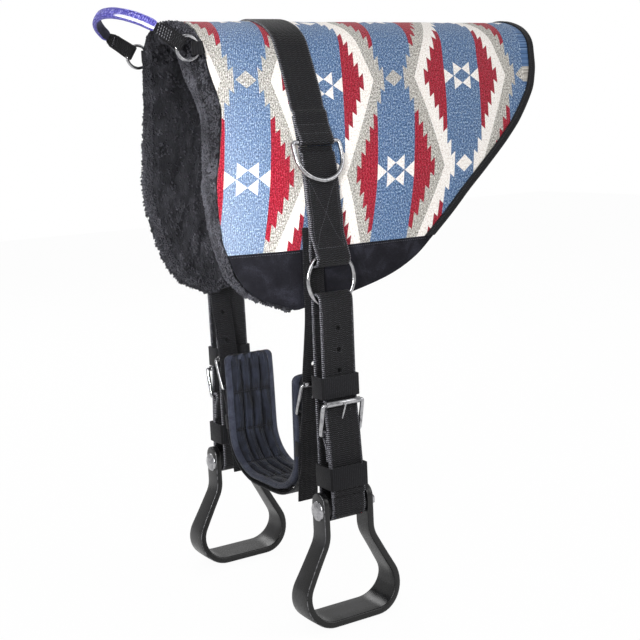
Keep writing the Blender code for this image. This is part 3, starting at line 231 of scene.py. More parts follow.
def new_material(name, rough=0.5, specular=0.5, sheen=0.0, sheen_rough=0.5, metal=0.0, tint="FFFFFF"):
    """A material, its node tree and its Principled shader with the plain values set."""
    made = bpy.data.materials.new(name)
    made.use_nodes = True
    shader = made.node_tree.nodes["Principled BSDF"]
    for socket, value in (("Roughness", rough), ("Specular IOR Level", specular), ("Sheen Weight", sheen),
                          ("Sheen Roughness", sheen_rough), ("Metallic", metal), ("Sheen Tint", linear(tint))):
        shader.inputs[socket].default_value = value
    return made, made.node_tree, shader


def colours(tree, value, *stops):
    """A colour ramp over a value, from (place, hex colour) stops."""
    out = add(tree, "ValToRGB", {}, {0: value})
    ramp = out.node.color_ramp
    for end in (0, -1):
        ramp.elements[end].position, ramp.elements[end].color = stops[end][0], linear(stops[end][1])
    for place, colour in stops[1:-1]:
        ramp.elements.new(place).color = linear(colour)
    return out


def math_of(tree, operation, first, second=None, third=None):
    """One arithmetic step on values or numbers."""
    given = {k: v for k, v in enumerate((first, second, third)) if v is not None}
    numbers = {k: v for k, v in given.items() if not isinstance(v, bpy.types.NodeSocket)}
    sources = {k: v for k, v in given.items() if isinstance(v, bpy.types.NodeSocket)}
    return add(tree, "Math", {"operation": operation, **numbers}, sources)


def object_place(tree):
    """A point's place in the part's frame, in metres."""
    return add(tree, "TexCoord").node.outputs["Object"]


def split(tree, place):
    """The three values of a place."""
    return tuple(add(tree, "SeparateXYZ", {}, {0: place}).node.outputs)


def laid(tree):
    """The piece's own flat coordinates, whole and as separate values."""
    place = add(tree, "TexCoord").node.outputs["UV"]
    return place, split(tree, place)


def grain(tree, place, scale, detail=2.0, rough=0.5, bend=0.0):
    """Noise about a place."""
    return add(tree, "TexNoise", {"Scale": scale, "Detail": detail, "Roughness": rough, "Distortion": bend},
               {"Vector": place})


def stretched(tree, place, scales):
    """A place scaled by its own amount each way."""
    return add(tree, "Mapping", {"Scale": scales}, {0: place})


def ranged(tree, value, low, high, start=0.0, end=1.0):
    """A value's stretch from low to high, carried to one from start to end."""
    return add(tree, "MapRange", {"From Min": low, "From Max": high, "To Min": start, "To Max": end}, {0: value})


def blend(tree, share, first, second):
    """Two colours mixed by a share; the second may be a hex colour."""
    if isinstance(second, str):
        return add(tree, "Mix", {"data_type": "RGBA", 7: linear(second)}, {0: share, 6: first}).node.outputs[2]
    return add(tree, "Mix", {"data_type": "RGBA"}, {0: share, 6: first, 7: second}).node.outputs[2]


def dress(tree, shader, tone, height, distance, strength):
    """Give a shader its colour, and bump from a height of 0 to 1 that stands for a distance in metres."""
    tree.links.new(tone, shader.inputs["Base Color"])
    bump = add(tree, "Bump", {"Distance": distance, "Strength": strength}, {"Height": height})
    tree.links.new(bump, shader.inputs["Normal"])


def woven_wool():
    """Saddle-blanket cotton and wool, woven with fine ribs down the side of the pad.

    Heathered yarn gives speckled blue and grey, and the motifs end in stepped, serrated points. The blue is
    painted paler towards the front edge, low down: painted light where the lamp from the front catches it.
    """
    made, tree, shader = new_material("woven_wool", 0.95, 0.12, 0.18)
    do = lambda *given: math_of(tree, *given)
    place, (column, row, _) = laid(tree)
    across = do("PINGPONG", column, 1.0)
    along = do("PINGPONG", row, 1.0)
    spacing, half_row = MOTIF_SPACING * 1000, MOTIF_ROW * 1000
    motifs = []
    for side, far in ((across, do("SUBTRACT", 1.0, along)), (do("SUBTRACT", 1.0, across), along)):
        out = do("MULTIPLY", side, spacing)
        off = do("MULTIPLY", far, half_row)
        step = do("DIVIDE", do("SUBTRACT", out, STRIPE_MM), STEP_MM)
        reach = do("MULTIPLY_ADD", do("FLOOR", step), -STEP_RISE_MM, LAST_STEP_MM + STEP_RISE_MM * (STEPS - 1))
        reach = do("MULTIPLY_ADD", do("SUBTRACT", do("FRACT", step), 1.0), STEP_SLANT_MM, reach)
        inside = do("MULTIPLY", do("LESS_THAN", off, reach), do("LESS_THAN", step, float(STEPS)))
        blue = do("LESS_THAN", out, STRIPE_MM)
        point = do("DIVIDE", do("SUBTRACT", half_row, off), DIAMOND_MM[1])
        diamond = do("LESS_THAN", do("ADD", do("DIVIDE", out, DIAMOND_MM[0]), point), 1.0)
        ear = do("LESS_THAN", off, do("MULTIPLY_ADD", out, EAR_SLOPE, HOLLOW_MM[1]))
        ear = do("MULTIPLY", ear, do("LESS_THAN", out, EAR_MM))
        hollow = do("ADD", do("DIVIDE", out, HOLLOW_MM[0]), do("DIVIDE", off, HOLLOW_MM[1]))
        ear = do("MULTIPLY", ear, do("GREATER_THAN", hollow, 1.0))
        wing = do("MULTIPLY", do("LESS_THAN", off, do("MULTIPLY_ADD", out, WING_SLOPE, -WING_START_MM)), blue)
        motifs.append((out, off, inside, blue, diamond, do("MAXIMUM", ear, wing)))
    speckle = grain(tree, stretched(tree, place, (64, 52, 1)), 1.0, 2.0, 0.8)
    ribs = do("SINE", do("MULTIPLY", column, 2 * math.pi * spacing / RIB_MM))
    yarn = do("MULTIPLY_ADD", ribs, 0.035, speckle)
    red = colours(tree, yarn, (0.34, "5A0312"), (0.50, "960620"), (0.67, "D0405A"))
    cream = colours(tree, yarn, (0.34, "CCC1B8"), (0.47, "F2EBE5"), (0.62, "FFFDFA"))
    grey = colours(tree, yarn, (0.34, "5C5954"), (0.46, "9E9A93"), (0.55, "C4C0B9"), (0.66, "F1EEE9"))
    blues = colours(tree, yarn, (0.34, "1E3454"), (0.45, "405F88"), (0.55, "6280A8"), (0.67, "BCCFE0"))
    ahead, _, height = split(tree, object_place(tree))
    # The blue is blended towards near-white at the front, low down: painted light on the lit front edge.
    painted_front_light = do("MULTIPLY", ranged(tree, ahead, -0.02, -0.13, 0.0, 0.15), ranged(tree, height, 0.0, -0.25, 0.35))
    blues = blend(tree, painted_front_light, blues, "F2F4F6")
    middle = do("MULTIPLY_ADD", motifs[0][1], -LATTICE_LEAN, LATTICE_MM)
    band = blend(tree, do("GREATER_THAN", motifs[0][0], middle), grey, cream)
    for (_, _, inside, blue, diamond, star), centre in zip(motifs, (grey, cream)):
        field = blend(tree, star, blend(tree, blue, red, blues), cream)
        band = blend(tree, diamond, blend(tree, inside, band, field), centre)
    height = do("MULTIPLY_ADD", ribs, 0.28, do("MULTIPLY", speckle, 1.3))
    dress(tree, shader, band, height, 0.0013, 0.8)
    return made


def fleece_pile(name, *tones):
    """Deep acrylic fleece: curled dark locks of 4 to 11 mm whose tips catch the light."""
    made, tree, shader = new_material(name, 0.9, 0.12, 0.25, 0.45, tint="8C8C96")
    do = lambda *given: math_of(tree, *given)
    place = stretched(tree, object_place(tree), (1, 1, 0.45))
    curl = grain(tree, place, 260.0, 3.0, 0.7, 1.4)
    clump = grain(tree, place, 90.0, bend=0.8)
    tip = add(tree, "Attribute", {"attribute_name": "tip"}).node.outputs["Fac"]
    value = do("MULTIPLY_ADD", curl, 0.55, do("MULTIPLY", clump, 0.35))
    value = do("MULTIPLY_ADD", tip, 0.16, value)
    broad = grain(tree, place, 38.0, bend=1.2)
    value = do("MULTIPLY_ADD", do("SUBTRACT", broad, 0.5), 0.45, value)
    tone = colours(tree, value, *zip((0.36, 0.52, 0.68, 0.86), tones))
    dress(tree, shader, tone, value, 0.004, 0.8)
    return made


def suede():
    """Napped black suede: brushed patches lighter and darker, with a soft edge glow."""
    made, tree, shader = new_material("black_suede", 0.88, 0.08, 0.12, 0.35, tint="6E7080")
    place = object_place(tree)
    nap = grain(tree, place, 28.0, 4.0, 0.6, 0.6)
    fine = grain(tree, place, 900.0, 2.0, 0.7)
    value = math_of(tree, "MULTIPLY_ADD", fine, 0.35, math_of(tree, "MULTIPLY", nap, 0.65))
    tone = colours(tree, value, (0.36, "121216"), (0.52, "1D1D22"), (0.68, "31313A"))
    dress(tree, shader, tone, fine, 0.0006, 0.5)
    return made


def webbing(name, half, dark="09090B", light="242428", pitch_mm=2.6):
    """Polypropylene webbing: cross ribs of twisted yarn and a faint herringbone. Rib crowns and pale specks are
    painted glints; the lighter edges are partly loose fuzz and partly a painted highlight.
    """
    made, tree, shader = new_material(name, 0.5, 0.2, 0.03, 0.4)
    do = lambda *given: math_of(tree, *given)
    place, (across, along, _) = laid(tree)
    zigzag = do("PINGPONG", do("ADD", across, 1.0), 0.004)
    ribs = do("SINE", do("MULTIPLY", do("ADD", along, do("MULTIPLY", zigzag, 0.35)), per_mm(pitch_mm)))
    yarn = do("SINE", do("MULTIPLY", across, per_mm(1.9)))
    rise = do("MULTIPLY_ADD", do("MULTIPLY", ribs, do("MULTIPLY_ADD", yarn, 0.25, 0.75)), 0.5, 0.5)
    fuzz = grain(tree, stretched(tree, place, (700, 420, 1)), 1.0, 3.0, 0.8)
    edge = do("SUBTRACT", do("DIVIDE", do("ABSOLUTE", across), half), 0.84)
    edge = do("MULTIPLY", do("MAXIMUM", edge, 0.0), 6.0)
    # Rib crowns are painted lighter: painted glints on the ribs.
    value = do("MULTIPLY_ADD", rise, 0.40, do("MULTIPLY", fuzz, 0.44))
    # Lighter edges: partly loose fuzz, partly a painted highlight.
    value = do("ADD", value, do("MULTIPLY", edge, do("MULTIPLY", fuzz, 0.55)))
    # The palest stop gives scattered pale specks, painted glints.
    tone = colours(tree, value, (0.22, "030304"), (0.42, dark), (0.60, light), (0.80, "8E8E96"))
    dress(tree, shader, tone, do("MULTIPLY_ADD", fuzz, 0.5, rise), 0.0012, 0.8)
    return made


def per_mm(pitch_mm):
    """Factor on metres that gives a sine one turn in each pitch."""
    return 2000 * math.pi / pitch_mm


def side_webbing():
    """The same webbing turned sideways, as on keepers: its ribs stand upright."""
    made, tree, shader = new_material("keeper_webbing", 0.6, 0.14, 0.06)
    do = lambda *given: math_of(tree, *given)
    place = object_place(tree)
    parts = split(tree, place)
    ribs = do("SINE", do("MULTIPLY", do("ADD", parts[0], parts[1]), per_mm(2.8)))
    rise = do("MULTIPLY_ADD", ribs, 0.5, 0.5)
    fuzz = grain(tree, place, 800.0, 3.0, 0.75)
    value = do("MULTIPLY_ADD", rise, 0.18, do("MULTIPLY", fuzz, 0.62))
    tone = colours(tree, value, (0.22, "08080A"), (0.44, "151518"), (0.60, "2C2C31"), (0.76, "5A5A60"))
    dress(tree, shader, tone, value, 0.0009, 0.7)
    return made


def navy_cloth(name, dark, light, seamed=False):
    """Tight nylon cloth of the quilted girth: a fine weave, with deep creases along the sewn lines.

    Seamed cloth has flat coordinates that count its lanes and blocks, and it gathers towards the cross seams;
    its gathers carry painted shade and light, and painted shade darkens it along the sewn lines.
    """
    made, tree, shader = new_material(name, 0.6, 0.18, 0.12, 0.35)
    do = lambda *given: math_of(tree, *given)
    place = object_place(tree)
    weave = grain(tree, place, 1100.0)
    shade = grain(tree, place, 45.0, 4.0, 0.6, 0.8)
    value = do("MULTIPLY_ADD", weave, 0.3, do("MULTIPLY", shade, 0.7))
    height = do("ADD", shade, do("MULTIPLY", weave, 0.3))
    if seamed:
        flat_place, (lane, block, _) = laid(tree)
        gathers = grain(tree, stretched(tree, flat_place, (5.5, 1.3, 1)), 1.0, 3.0, bend=0.6)
        close = do("SUBTRACT", 1.0, do("MULTIPLY", do("PINGPONG", block, 0.5), 2.2))
        fold_shade_and_bump = do("MULTIPLY", do("SUBTRACT", gathers, 0.5), do("MAXIMUM", close, 0.2))
        # The gathers are painted darker and lighter in the colour as painted shade, and also give bump.
        value = do("MULTIPLY_ADD", fold_shade_and_bump, 2.0, value)
        height = do("MULTIPLY_ADD", fold_shade_and_bump, 2.4, height)
        # Painted shade darkens the cloth along the lane seams and the cross seams.
        for flat, reach, seam_shade in ((lane, 0.20, 0.30), (block, 0.055, 0.60)):
            line = do("DIVIDE", do("PINGPONG", flat, 0.5), reach)
            value = do("MULTIPLY_ADD", do("MINIMUM", line, 1.0), seam_shade, do("SUBTRACT", value, seam_shade - 0.03))
    tone = colours(tree, value, (0.12, "040508"), (0.40, dark), (0.80, light))
    dress(tree, shader, tone, height, 0.0035, 0.9)
    return made


def grip_cloth():
    """The hand hold's sleeve: bright blue webbing with pale bands along its top that are painted highlights,
    its inner face lined dark.
    """
    made, tree, shader = new_material("blue_grip_webbing", 0.7, 0.3, 0.15, tint="B9B6F0")
    do = lambda *given: math_of(tree, *given)
    place, (across, along, _) = laid(tree)
    ribs = do("SINE", do("MULTIPLY", along, per_mm(2.6)))
    yarn = do("SINE", do("MULTIPLY", across, per_mm(3.2)))
    fuzz = grain(tree, stretched(tree, place, (500, 300, 1)), 1.0, 3.0, 0.8)
    value = do("MULTIPLY_ADD", ribs, 0.06, do("MULTIPLY_ADD", yarn, 0.04, fuzz))
    tone = colours(tree, value, (0.30, "24215E"), (0.46, "3F3B94"), (0.58, "6864BC"), (0.72, "C4C2EC"))
    lining = colours(tree, fuzz, (0.3, "0C0C10"), (0.7, "2A2A33"))
    under = do("LESS_THAN", do("ABSOLUTE", do("SUBTRACT", across, GRIP_AROUND / 2)), GRIP_AROUND * 0.14)
    tone = blend(tree, under, tone, lining)
    near_end = ranged(tree, along, 0.118, 0.136)
    # Two pale bands are painted highlights: a near-white one towards one end, and a fainter lilac one along the
    # sleeve.
    for middle, reach, shade, share in ((0.925, 0.062, "F3F2FD", near_end), (0.16, 0.035, "BDBAF0", 1.0)):
        band = do("SUBTRACT", reach, do("ABSOLUTE", do("SUBTRACT", do("DIVIDE", across, GRIP_AROUND), middle)))
        painted_highlight = do("MULTIPLY", do("MULTIPLY_ADD", band, 45.0, do("SUBTRACT", fuzz, 0.75)), share)
        tone = blend(tree, add(tree, "Clamp", {}, {0: painted_highlight}), tone, shade)
    dress(tree, shader, tone, value, 0.0009, 0.6)
    return made


def nickel():
    """Nickel-plated steel, polished: a bright warm-grey mirror with fine handling scratches."""
    made, tree, shader = new_material("polished_nickel", metal=1.0)
    smear = grain(tree, object_place(tree), 120.0, 4.0, 0.7, 1.5)
    tree.links.new(ranged(tree, smear, 0.3, 0.7, 0.10, 0.26), shader.inputs["Roughness"])
    dress(tree, shader, colours(tree, smear, (0.35, "8C8C90"), (0.65, "C6C6C8")), smear, 0.0001, 0.12)
    return made


def powder_coat():
    """Satin black powder coat over cast aluminium: a fine orange-peel skin, with pale flecks painted along the
    edges as a painted highlight, and faces turned along Y painted darker as painted shade.

    The flat coordinate is 1 on the bar's edges, where the highlight is painted, and 0 elsewhere.
    """
    made, tree, shader = new_material("satin_powder_coat")
    do = lambda *given: math_of(tree, *given)
    place = object_place(tree)
    peel = grain(tree, place, 900.0)
    rub = grain(tree, place, 30.0, 5.0, 0.65)
    fleck = grain(tree, place, 160.0, 4.0, 0.7)
    # Pale flecks on the bar's edges: a painted highlight.
    painted_edge_highlight = do("MULTIPLY", laid(tree)[1][0], ranged(tree, fleck, 0.40, 0.60, 0.0, 0.8))
    broad = colours(tree, rub, (0.35, "0C0C0D"), (0.55, "151517"), (0.75, "2C2C30"))
    edge = colours(tree, rub, (0.35, "030303"), (0.75, "0C0C0E"))
    # Faces turned along Y take the darker ramp: painted shade.
    sideways = split(tree, add(tree, "TexCoord").node.outputs["Normal"])[1]
    tone = blend(tree, ranged(tree, do("ABSOLUTE", sideways), 0.55, 0.85), broad, edge)
    tree.links.new(ranged(tree, rub, 0.3, 0.7, 0.20, 0.36), shader.inputs["Roughness"])
    dress(tree, shader, blend(tree, painted_edge_highlight, tone, "96969A"), peel, 0.0003, 0.3)
    return made


def moulded_sleeve():
    """The black nylon tube on the stirrup bolt, with a faint moulded grain."""
    made, tree, shader = new_material("moulded_nylon")
    fine = grain(tree, object_place(tree), 700.0)
    dress(tree, shader, colours(tree, fine, (0.3, "0D0D0F"), (0.7, "17171A")), fine, 0.0003, 0.3)
    return made


def thread(name, dark, light):
    """Bonded polyester thread, twisted, with a slight shine."""
    made, tree, shader = new_material(name)
    strand = grain(tree, object_place(tree), 1500.0, 1.0)
    tree.links.new(colours(tree, strand, (0.35, dark), (0.65, light)), shader.inputs["Base Color"])
    return made


def foam_sheet():
    """Closed-cell foam, seen only where the layers are parted."""
    made, tree, shader = new_material("closed_cell_foam", 0.95)
    cells = add(tree, "TexVoronoi", {"Scale": 900.0}, {"Vector": object_place(tree)})
    dress(tree, shader, colours(tree, cells, (0.2, "2A2A2E"), (0.8, "3C3C42")), cells, 0.0004, 0.4)
    return made


def paper_white():
    """White studio paper that the camera sees as the plain background, with the object's soft shadow."""
    made = bpy.data.materials.new("studio_paper")
    made.use_nodes = True
    tree = made.node_tree
    tree.nodes.clear()
    paper = add(tree, "BsdfDiffuse", {"Color": linear("FAFAFA")})
    glow = add(tree, "Emission", {"Color": (1, 1, 1, 1), "Strength": 1.0})
    share = math_of(tree, "MULTIPLY", add(tree, "LightPath").node.outputs["Is Camera Ray"], 0.96)
    mixed = add(tree, "MixShader", {}, {0: share, 1: paper, 2: glow})
    tree.links.new(mixed, tree.nodes.new("ShaderNodeOutputMaterial").inputs[0])
    return made


def make_looks():
    """Every finish, by name."""
    made = {"woven_wool": woven_wool(), "black_suede": suede(), "foam": foam_sheet(),
            "dark_pile": fleece_pile("dark_pile", "19191C", "2C2C30", "424247", "5E5E66"),
            # The roll's pile is a lighter copy of the dark pile: painted light where the near roll faces the lamps.
            "painted_lit_pile": fleece_pile("painted_lit_pile", "242428", "424247", "5F5F66", "888890"),
            "black_webbing": webbing("black_webbing", WIDE_WEB), "keeper_webbing": side_webbing(),
            "edge_tape": webbing("grosgrain_tape", 0.2, "0F0F12", "222227", 1.6),
            "navy_nylon": navy_cloth("navy_nylon", "12141C", "2B303F", True),
            "navy_binding": navy_cloth("navy_binding", "2B2E3B", "4C505F"),
            "blue_grip_webbing": grip_cloth(), "polished_nickel": nickel(), "satin_powder_coat": powder_coat(),
            "moulded_nylon": moulded_sleeve(), "studio_paper": paper_white()}
    for name, dark, light in (("black_thread", "1A1A1E", "3C3C42"), ("grey_thread", "242428", "4C4C54"),
                              ("pale_thread", "5A5A62", "A8A8AE"), ("navy_thread", "1C2030", "3A3F56")):
        made[name] = thread(name, dark, light)
    return made


# Shapes

def clamped(value):
    return min(max(value, 0), 1)


def placed(name, data):
    """A new object in the scene."""
    made = bpy.data.objects.new(name, data)
    bpy.context.scene.collection.objects.link(made)
    return made


def mesh_of(name, bm):
    """The mesh of a bmesh that is finished with."""
    mesh = bpy.data.meshes.new(name)
    bm.to_mesh(mesh)
    bm.free()
    return mesh


def divided(line, ends, step=0.004):
    """Evenly spaced points along pairs of neighbours of a line, without the last one."""
    points = []
    for a, b in zip(line, ends):
        count = max(1, round((b - a).length / step))
        points += [a.lerp(b, k / count) for k in range(count)]
    return points


def flowing(points, step=0.005):
    """A smooth line through points, as a strap takes between its folds."""
    points = [Vector(p) for p in points]
    ends = [2 * points[0] - points[1]] + points + [2 * points[-1] - points[-2]]
    line = []
    for before, start, end, after in zip(ends, ends[1:], ends[2:], ends[3:]):
        spans = [max((b - a).length, 1e-6) ** 0.5 for a, b in ((before, start), (start, end), (end, after))]
        leave = (start - before) / spans[0] - (end - before) / (spans[0] + spans[1]) + (end - start) / spans[1]
        arrive = (end - start) / spans[1] - (after - start) / (spans[1] + spans[2]) + (after - end) / spans[2]
        leave, arrive = leave * spans[1], arrive * spans[1]
        count = max(2, math.ceil((end - start).length / step))
        for k in range(count):
            t = k / count
            line.append(start * (2 * t ** 3 - 3 * t ** 2 + 1) + end * (3 * t ** 2 - 2 * t ** 3)
                        + leave * (t ** 3 - 2 * t ** 2 + t) + arrive * (t ** 3 - t ** 2))
    return line + [points[-1]]


def rounded(points, radii, steps=8):
    """An open polyline whose corners are arcs; a radius of zero keeps the corner."""
    points = [Vector(p) for p in points]
    line = []
    for i, corner in enumerate(points):
        if radii[i] == 0:
            line.append(corner)
            continue
        before = (points[i - 1] - corner).normalized()
        after = (points[i + 1] - corner).normalized()
        half = before.angle(after) / 2
        centre = corner + (before + after).normalized() * radii[i] / math.sin(half)
        start = corner + before * radii[i] / math.tan(half) - centre
        end = corner + after * radii[i] / math.tan(half) - centre
        first = math.atan2(start.y, start.x)
        sweep = (math.atan2(end.y, end.x) - first + math.pi) % (2 * math.pi) - math.pi
        for k in range(steps + 1):
            turned = first + sweep * k / steps
            line.append(centre + Vector((math.cos(turned), math.sin(turned))) * radii[i])
    return line


def tangents(line):
    """Unit direction of a line at each of its points."""
    out = []
    for i in range(len(line)):
        out.append((line[min(i + 1, len(line) - 1)] - line[max(i - 1, 0)]).normalized())
    return out


def lengths(line):
    """Distance along a line to each of its points."""
    out = [0.0]
    for start, end in zip(line, line[1:]):
        out.append(out[-1] + (end - start).length)
    return out


def skin(rows, mark, around=True, along=False):
    """A surface through rows of points, bent from one flat grid; mark gives the flat place of each."""
    count = len(rows[0])
    across, up = (count if around else count - 1), (len(rows) if along else len(rows) - 1)
    bm = bmesh.new()
    flat = bm.loops.layers.uv.new("UVMap")
    bmesh.ops.create_grid(bm, x_segments=across, y_segments=up, size=0.5)
    spots = {v: (round((v.co.y + 0.5) * up), round((v.co.x + 0.5) * across)) for v in bm.verts}
    for face in bm.faces:
        for corner in face.loops:
            corner[flat].uv = mark(*spots[corner.vert])
    for vert, (row, column) in spots.items():
        vert.co = rows[row % len(rows)][column % count]
    if around or along:
        bmesh.ops.remove_doubles(bm, verts=bm.verts[:], dist=1e-6)
    if around and not along:
        bmesh.ops.holes_fill(bm, edges=[e for e in bm.edges if e.is_boundary], sides=0)
    return bm


def strands(runs, sides):
    """Many short closed threads or locks: each run is a list of (place, radius) and ends in points."""
    rows = len(runs[0])
    bm = bmesh.new()
    bmesh.ops.create_grid(bm, x_segments=sides, y_segments=rows * len(runs) - 1, size=0.5)
    tip = bm.verts.layers.float.new("tip")
    up = rows * len(runs) - 1
    spots = {v: (round((v.co.y + 0.5) * up), round((v.co.x + 0.5) * sides)) for v in bm.verts}
    bridges = [f for f in bm.faces if max(spots[v][0] for v in f.verts) % rows == 0]
    frames = []
    for run in runs:
        along = (run[-1][0] - run[0][0]).normalized()
        first = along.orthogonal().normalized()
        frames.append((first, along.cross(first)))
    for vert, (row, column) in spots.items():
        place, radius = runs[row // rows][row % rows]
        first, second = frames[row // rows]
        turned = 2 * math.pi * (column % sides) / sides
        vert.co = place + (first * math.cos(turned) + second * math.sin(turned)) * radius
        vert[tip] = (row % rows) / (rows - 1)
    bmesh.ops.delete(bm, geom=bridges, context="FACES")
    bmesh.ops.remove_doubles(bm, verts=bm.verts[:], dist=1e-7)
    return bm


def turned_shape(profile, centre, steps=48):
    """A shape turned about a line along X through a centre, from an (x, radius) profile."""
    bm = bmesh.new()
    verts = [bm.verts.new(centre + Vector((x, 0, radius))) for x, radius in profile]
    edges = [bm.edges.new(pair) for pair in zip(verts, verts[1:])]
    bmesh.ops.spin(bm, geom=verts + edges, cent=centre, axis=(1, 0, 0), angle=2 * math.pi,
                   steps=steps, use_merge=True)
    bmesh.ops.remove_doubles(bm, verts=bm.verts[:], dist=1e-6)
    bmesh.ops.holes_fill(bm, edges=[e for e in bm.edges if e.is_boundary], sides=0)
    return bm


def piece(name, bm, look, body, nodes=(), sharp=50, levels=0):
    """A finished piece: it takes its look, rides on a body and stands for CAD nodes."""
    bmesh.ops.recalc_face_normals(bm, faces=bm.faces[:])
    limit = math.radians(sharp)
    for edge in bm.edges:
        edge.smooth = len(edge.link_faces) == 2 and edge.calc_face_angle(0) < limit
    for face in bm.faces:
        face.smooth = True
    made = placed(name, mesh_of(name, bm))
    made.data.materials.append(looks[look])
    if levels:
        soft = made.modifiers.new("Rounded", "SUBSURF")
        soft.levels = soft.render_levels = levels
    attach(made, body)
    if nodes:
        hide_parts(*nodes)
    return made


def body_of(node):
    """The body that a CAD node rides on."""
    return frame["nodes"][node]["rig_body"]


def merged_copy(node):
    """A CAD node's surface as one closed mesh, its flat triangles joined to larger faces."""
    bm = bmesh.new()
    bm.from_mesh(frame["nodes"][node].data)
    bmesh.ops.remove_doubles(bm, verts=bm.verts[:], dist=1e-6)
    bmesh.ops.join_triangles(bm, faces=bm.faces[:], angle_face_threshold=math.radians(30),
                             angle_shape_threshold=math.radians(180))
    return bm


def rounded_wire(node, wire):
    """A CAD ring or frame of nickel wire, rounded; it is first swollen by what the rounding takes off."""
    bm = merged_copy(node)
    bm.normal_update()
    for vert in bm.verts:
        vert.co += vert.normal * wire * 0.052
    return piece(node + "_smooth", bm, "polished_nickel", body_of(node), [node], 180, 2)


def softened(node, width):
    """A CAD node of keeper webbing with its edges bevelled."""
    bm = merged_copy(node)
    edges = [e for e in bm.edges if e.calc_face_angle(0) > math.radians(35)]
    bmesh.ops.bevel(bm, geom=edges, offset=width, segments=2, profile=0.5, material=-1,
                    affect="EDGES", clamp_overlap=True)
    return piece(node + "_soft", bm, "keeper_webbing", body_of(node), [node], 40)


def side_route(node, across=Vector((1, 0, 0))):
    """A strap's middle line, width and thickness, read from the side face of its CAD node."""
    bm = bmesh.new()
    bm.from_mesh(frame["nodes"][node].data)
    bmesh.ops.remove_doubles(bm, verts=bm.verts[:], dist=1e-6)
    reach = [v.co.dot(across) for v in bm.verts]
    low, high = min(reach), max(reach)
    side = {f for f in bm.faces if all(v.co.dot(across) < low + 1e-5 for v in f.verts)}
    rim = [e for e in bm.edges if sum(f in side for f in e.link_faces) == 1]
    joined = {}
    for edge in rim:
        for vert in edge.verts:
            joined.setdefault(vert, []).append(edge.other_vert(vert))
    loop = [rim[0].verts[0]]
    before = None
    while True:
        following = [v for v in joined[loop[-1]] if v is not before][0]
        if following is loop[0]:
            break
        before = loop[-1]
        loop.append(following)
    spots = [v.co.copy() for v in loop]
    bm.free()
    half = len(spots) // 2
    pairs = {}
    for start in range(len(spots)):
        ends = [(spots[(start + k) % len(spots)], spots[start - 1 - k]) for k in range(half)]
        pairs[sum((a - b).length for a, b in ends)] = ends
    best = pairs[min(pairs)]
    shift = across * (high - low) / 2
    thick = min((a - b).length for a, b in best)
    return [(a + b) / 2 + shift for a, b in best], high - low, thick


def strap_profile(width, thick):
    """Flat webbing with round selvedges, as (across, up) points."""
    half, soft = width / 2, thick / 2
    top = [(half - soft) * share for share in (-1, -0.5, 0, 0.5, 1)]
    bend = soft * math.sqrt(0.5)
    right = [(half - soft + bend, bend), (half, 0), (half - soft + bend, -bend)]
    return [(u, soft) for u in top] + right + [(u, -soft) for u in reversed(top)] \
        + [(-u, h) for u, h in reversed(right)]


def strap(node, across=Vector((1, 0, 0)), holes=()):
    """Black webbing in place of a CAD strap, woven along its own length."""
    route, width, thick = side_route(node, across)
    line = flowing(route)
    travel = lengths(line)
    profile = strap_profile(width, thick)
    rows = []
    for place, along in zip(line, tangents(line)):
        normal = along.cross(across).normalized()
        rows.append([place + across * u + normal * h for u, h in profile])
    bm = skin(rows, lambda r, c: (profile[c % len(profile)][0], travel[r]))
    made = piece(node + "_webbing", bm, "black_webbing", body_of(node), [node], 60)
    if holes:
        bore(made, holes)
    return made


def bore(made, holes):
    """Round holes through a piece, each given as (start, end, radius)."""
    bm = bmesh.new()
    for start, end, radius in holes:
        turn = Vector((0, 0, 1)).rotation_difference(end - start).to_matrix().to_4x4()
        bmesh.ops.create_cone(bm, cap_ends=True, segments=20, radius1=radius, radius2=radius,
                              depth=(end - start).length, matrix=Matrix.Translation((start + end) / 2) @ turn)
    drill = placed("bore", mesh_of("bore", bm))
    cut = made.modifiers.new("Bore", "BOOLEAN")
    cut.object = drill
    cut.operation = "DIFFERENCE"
    cut.solver = "EXACT"
    bpy.context.view_layer.update()
    shape = bpy.data.meshes.new_from_object(made.evaluated_get(bpy.context.evaluated_depsgraph_get()))
    made.modifiers.remove(cut)
    made.data = shape
    bpy.data.objects.remove(drill)


# Form of the pad

def section_points():
    """The cross-section as a smooth line from the ridge to the lower edge."""
    knots = [Vector((a * PAD_HALF_WIDTH, -b * PAD_DROP)) for a, b in SECTION_SHARES]
    knots = [Vector((-knots[1].x, knots[1].y))] + knots + [2 * knots[-1] - knots[-2]]
    fine = 16
    line = []
    for before, start, end, after in zip(knots, knots[1:], knots[2:], knots[3:]):
        for k in range(fine):
            t = k / fine
            line.append(0.5 * (2 * start + (end - before) * t
                               + (2 * before - 5 * start + 4 * end - after) * t ** 2
                               + (3 * start - before - 3 * end + after) * t ** 3))
    return np.array(line + [knots[-2]])


SECTION = section_points()
ARCS = np.concatenate(([0.0], np.cumsum(np.linalg.norm(np.diff(SECTION, axis=0), axis=1))))
SLOPES = np.gradient(SECTION, ARCS, axis=0)
ARC_END = float(ARCS[-1])


def arc_at(drop):
    """Distance over the pad from the ridge to a drop."""
    return float(np.interp(drop, -SECTION[:, 1], ARCS))


def edge_x(shares, reach, arc):
    """X of the front or rear edge at a distance over the pad."""
    drop_share = -np.interp(abs(arc), ARCS, SECTION[:, 1]) / PAD_DROP
    return float(np.interp(drop_share, [s[0] for s in shares], [s[1] * reach for s in shares]))


def eased(line):
    """A line of numbers with its kinks rounded off."""
    kernel = np.hanning(15)
    padded = np.concatenate((np.full(7, line[0]), line, np.full(7, line[-1])))
    return np.convolve(padded, kernel / kernel.sum(), mode="valid")


EDGE_ARCS = np.linspace(0, ARC_END, 200)
FRONT_EDGE = eased(np.array([-edge_x(FRONT_SHARES, PAD_FRONT, a) for a in EDGE_ARCS]))
REAR_EDGE = eased(np.array([edge_x(REAR_SHARES, PAD_REAR, a) for a in EDGE_ARCS]))


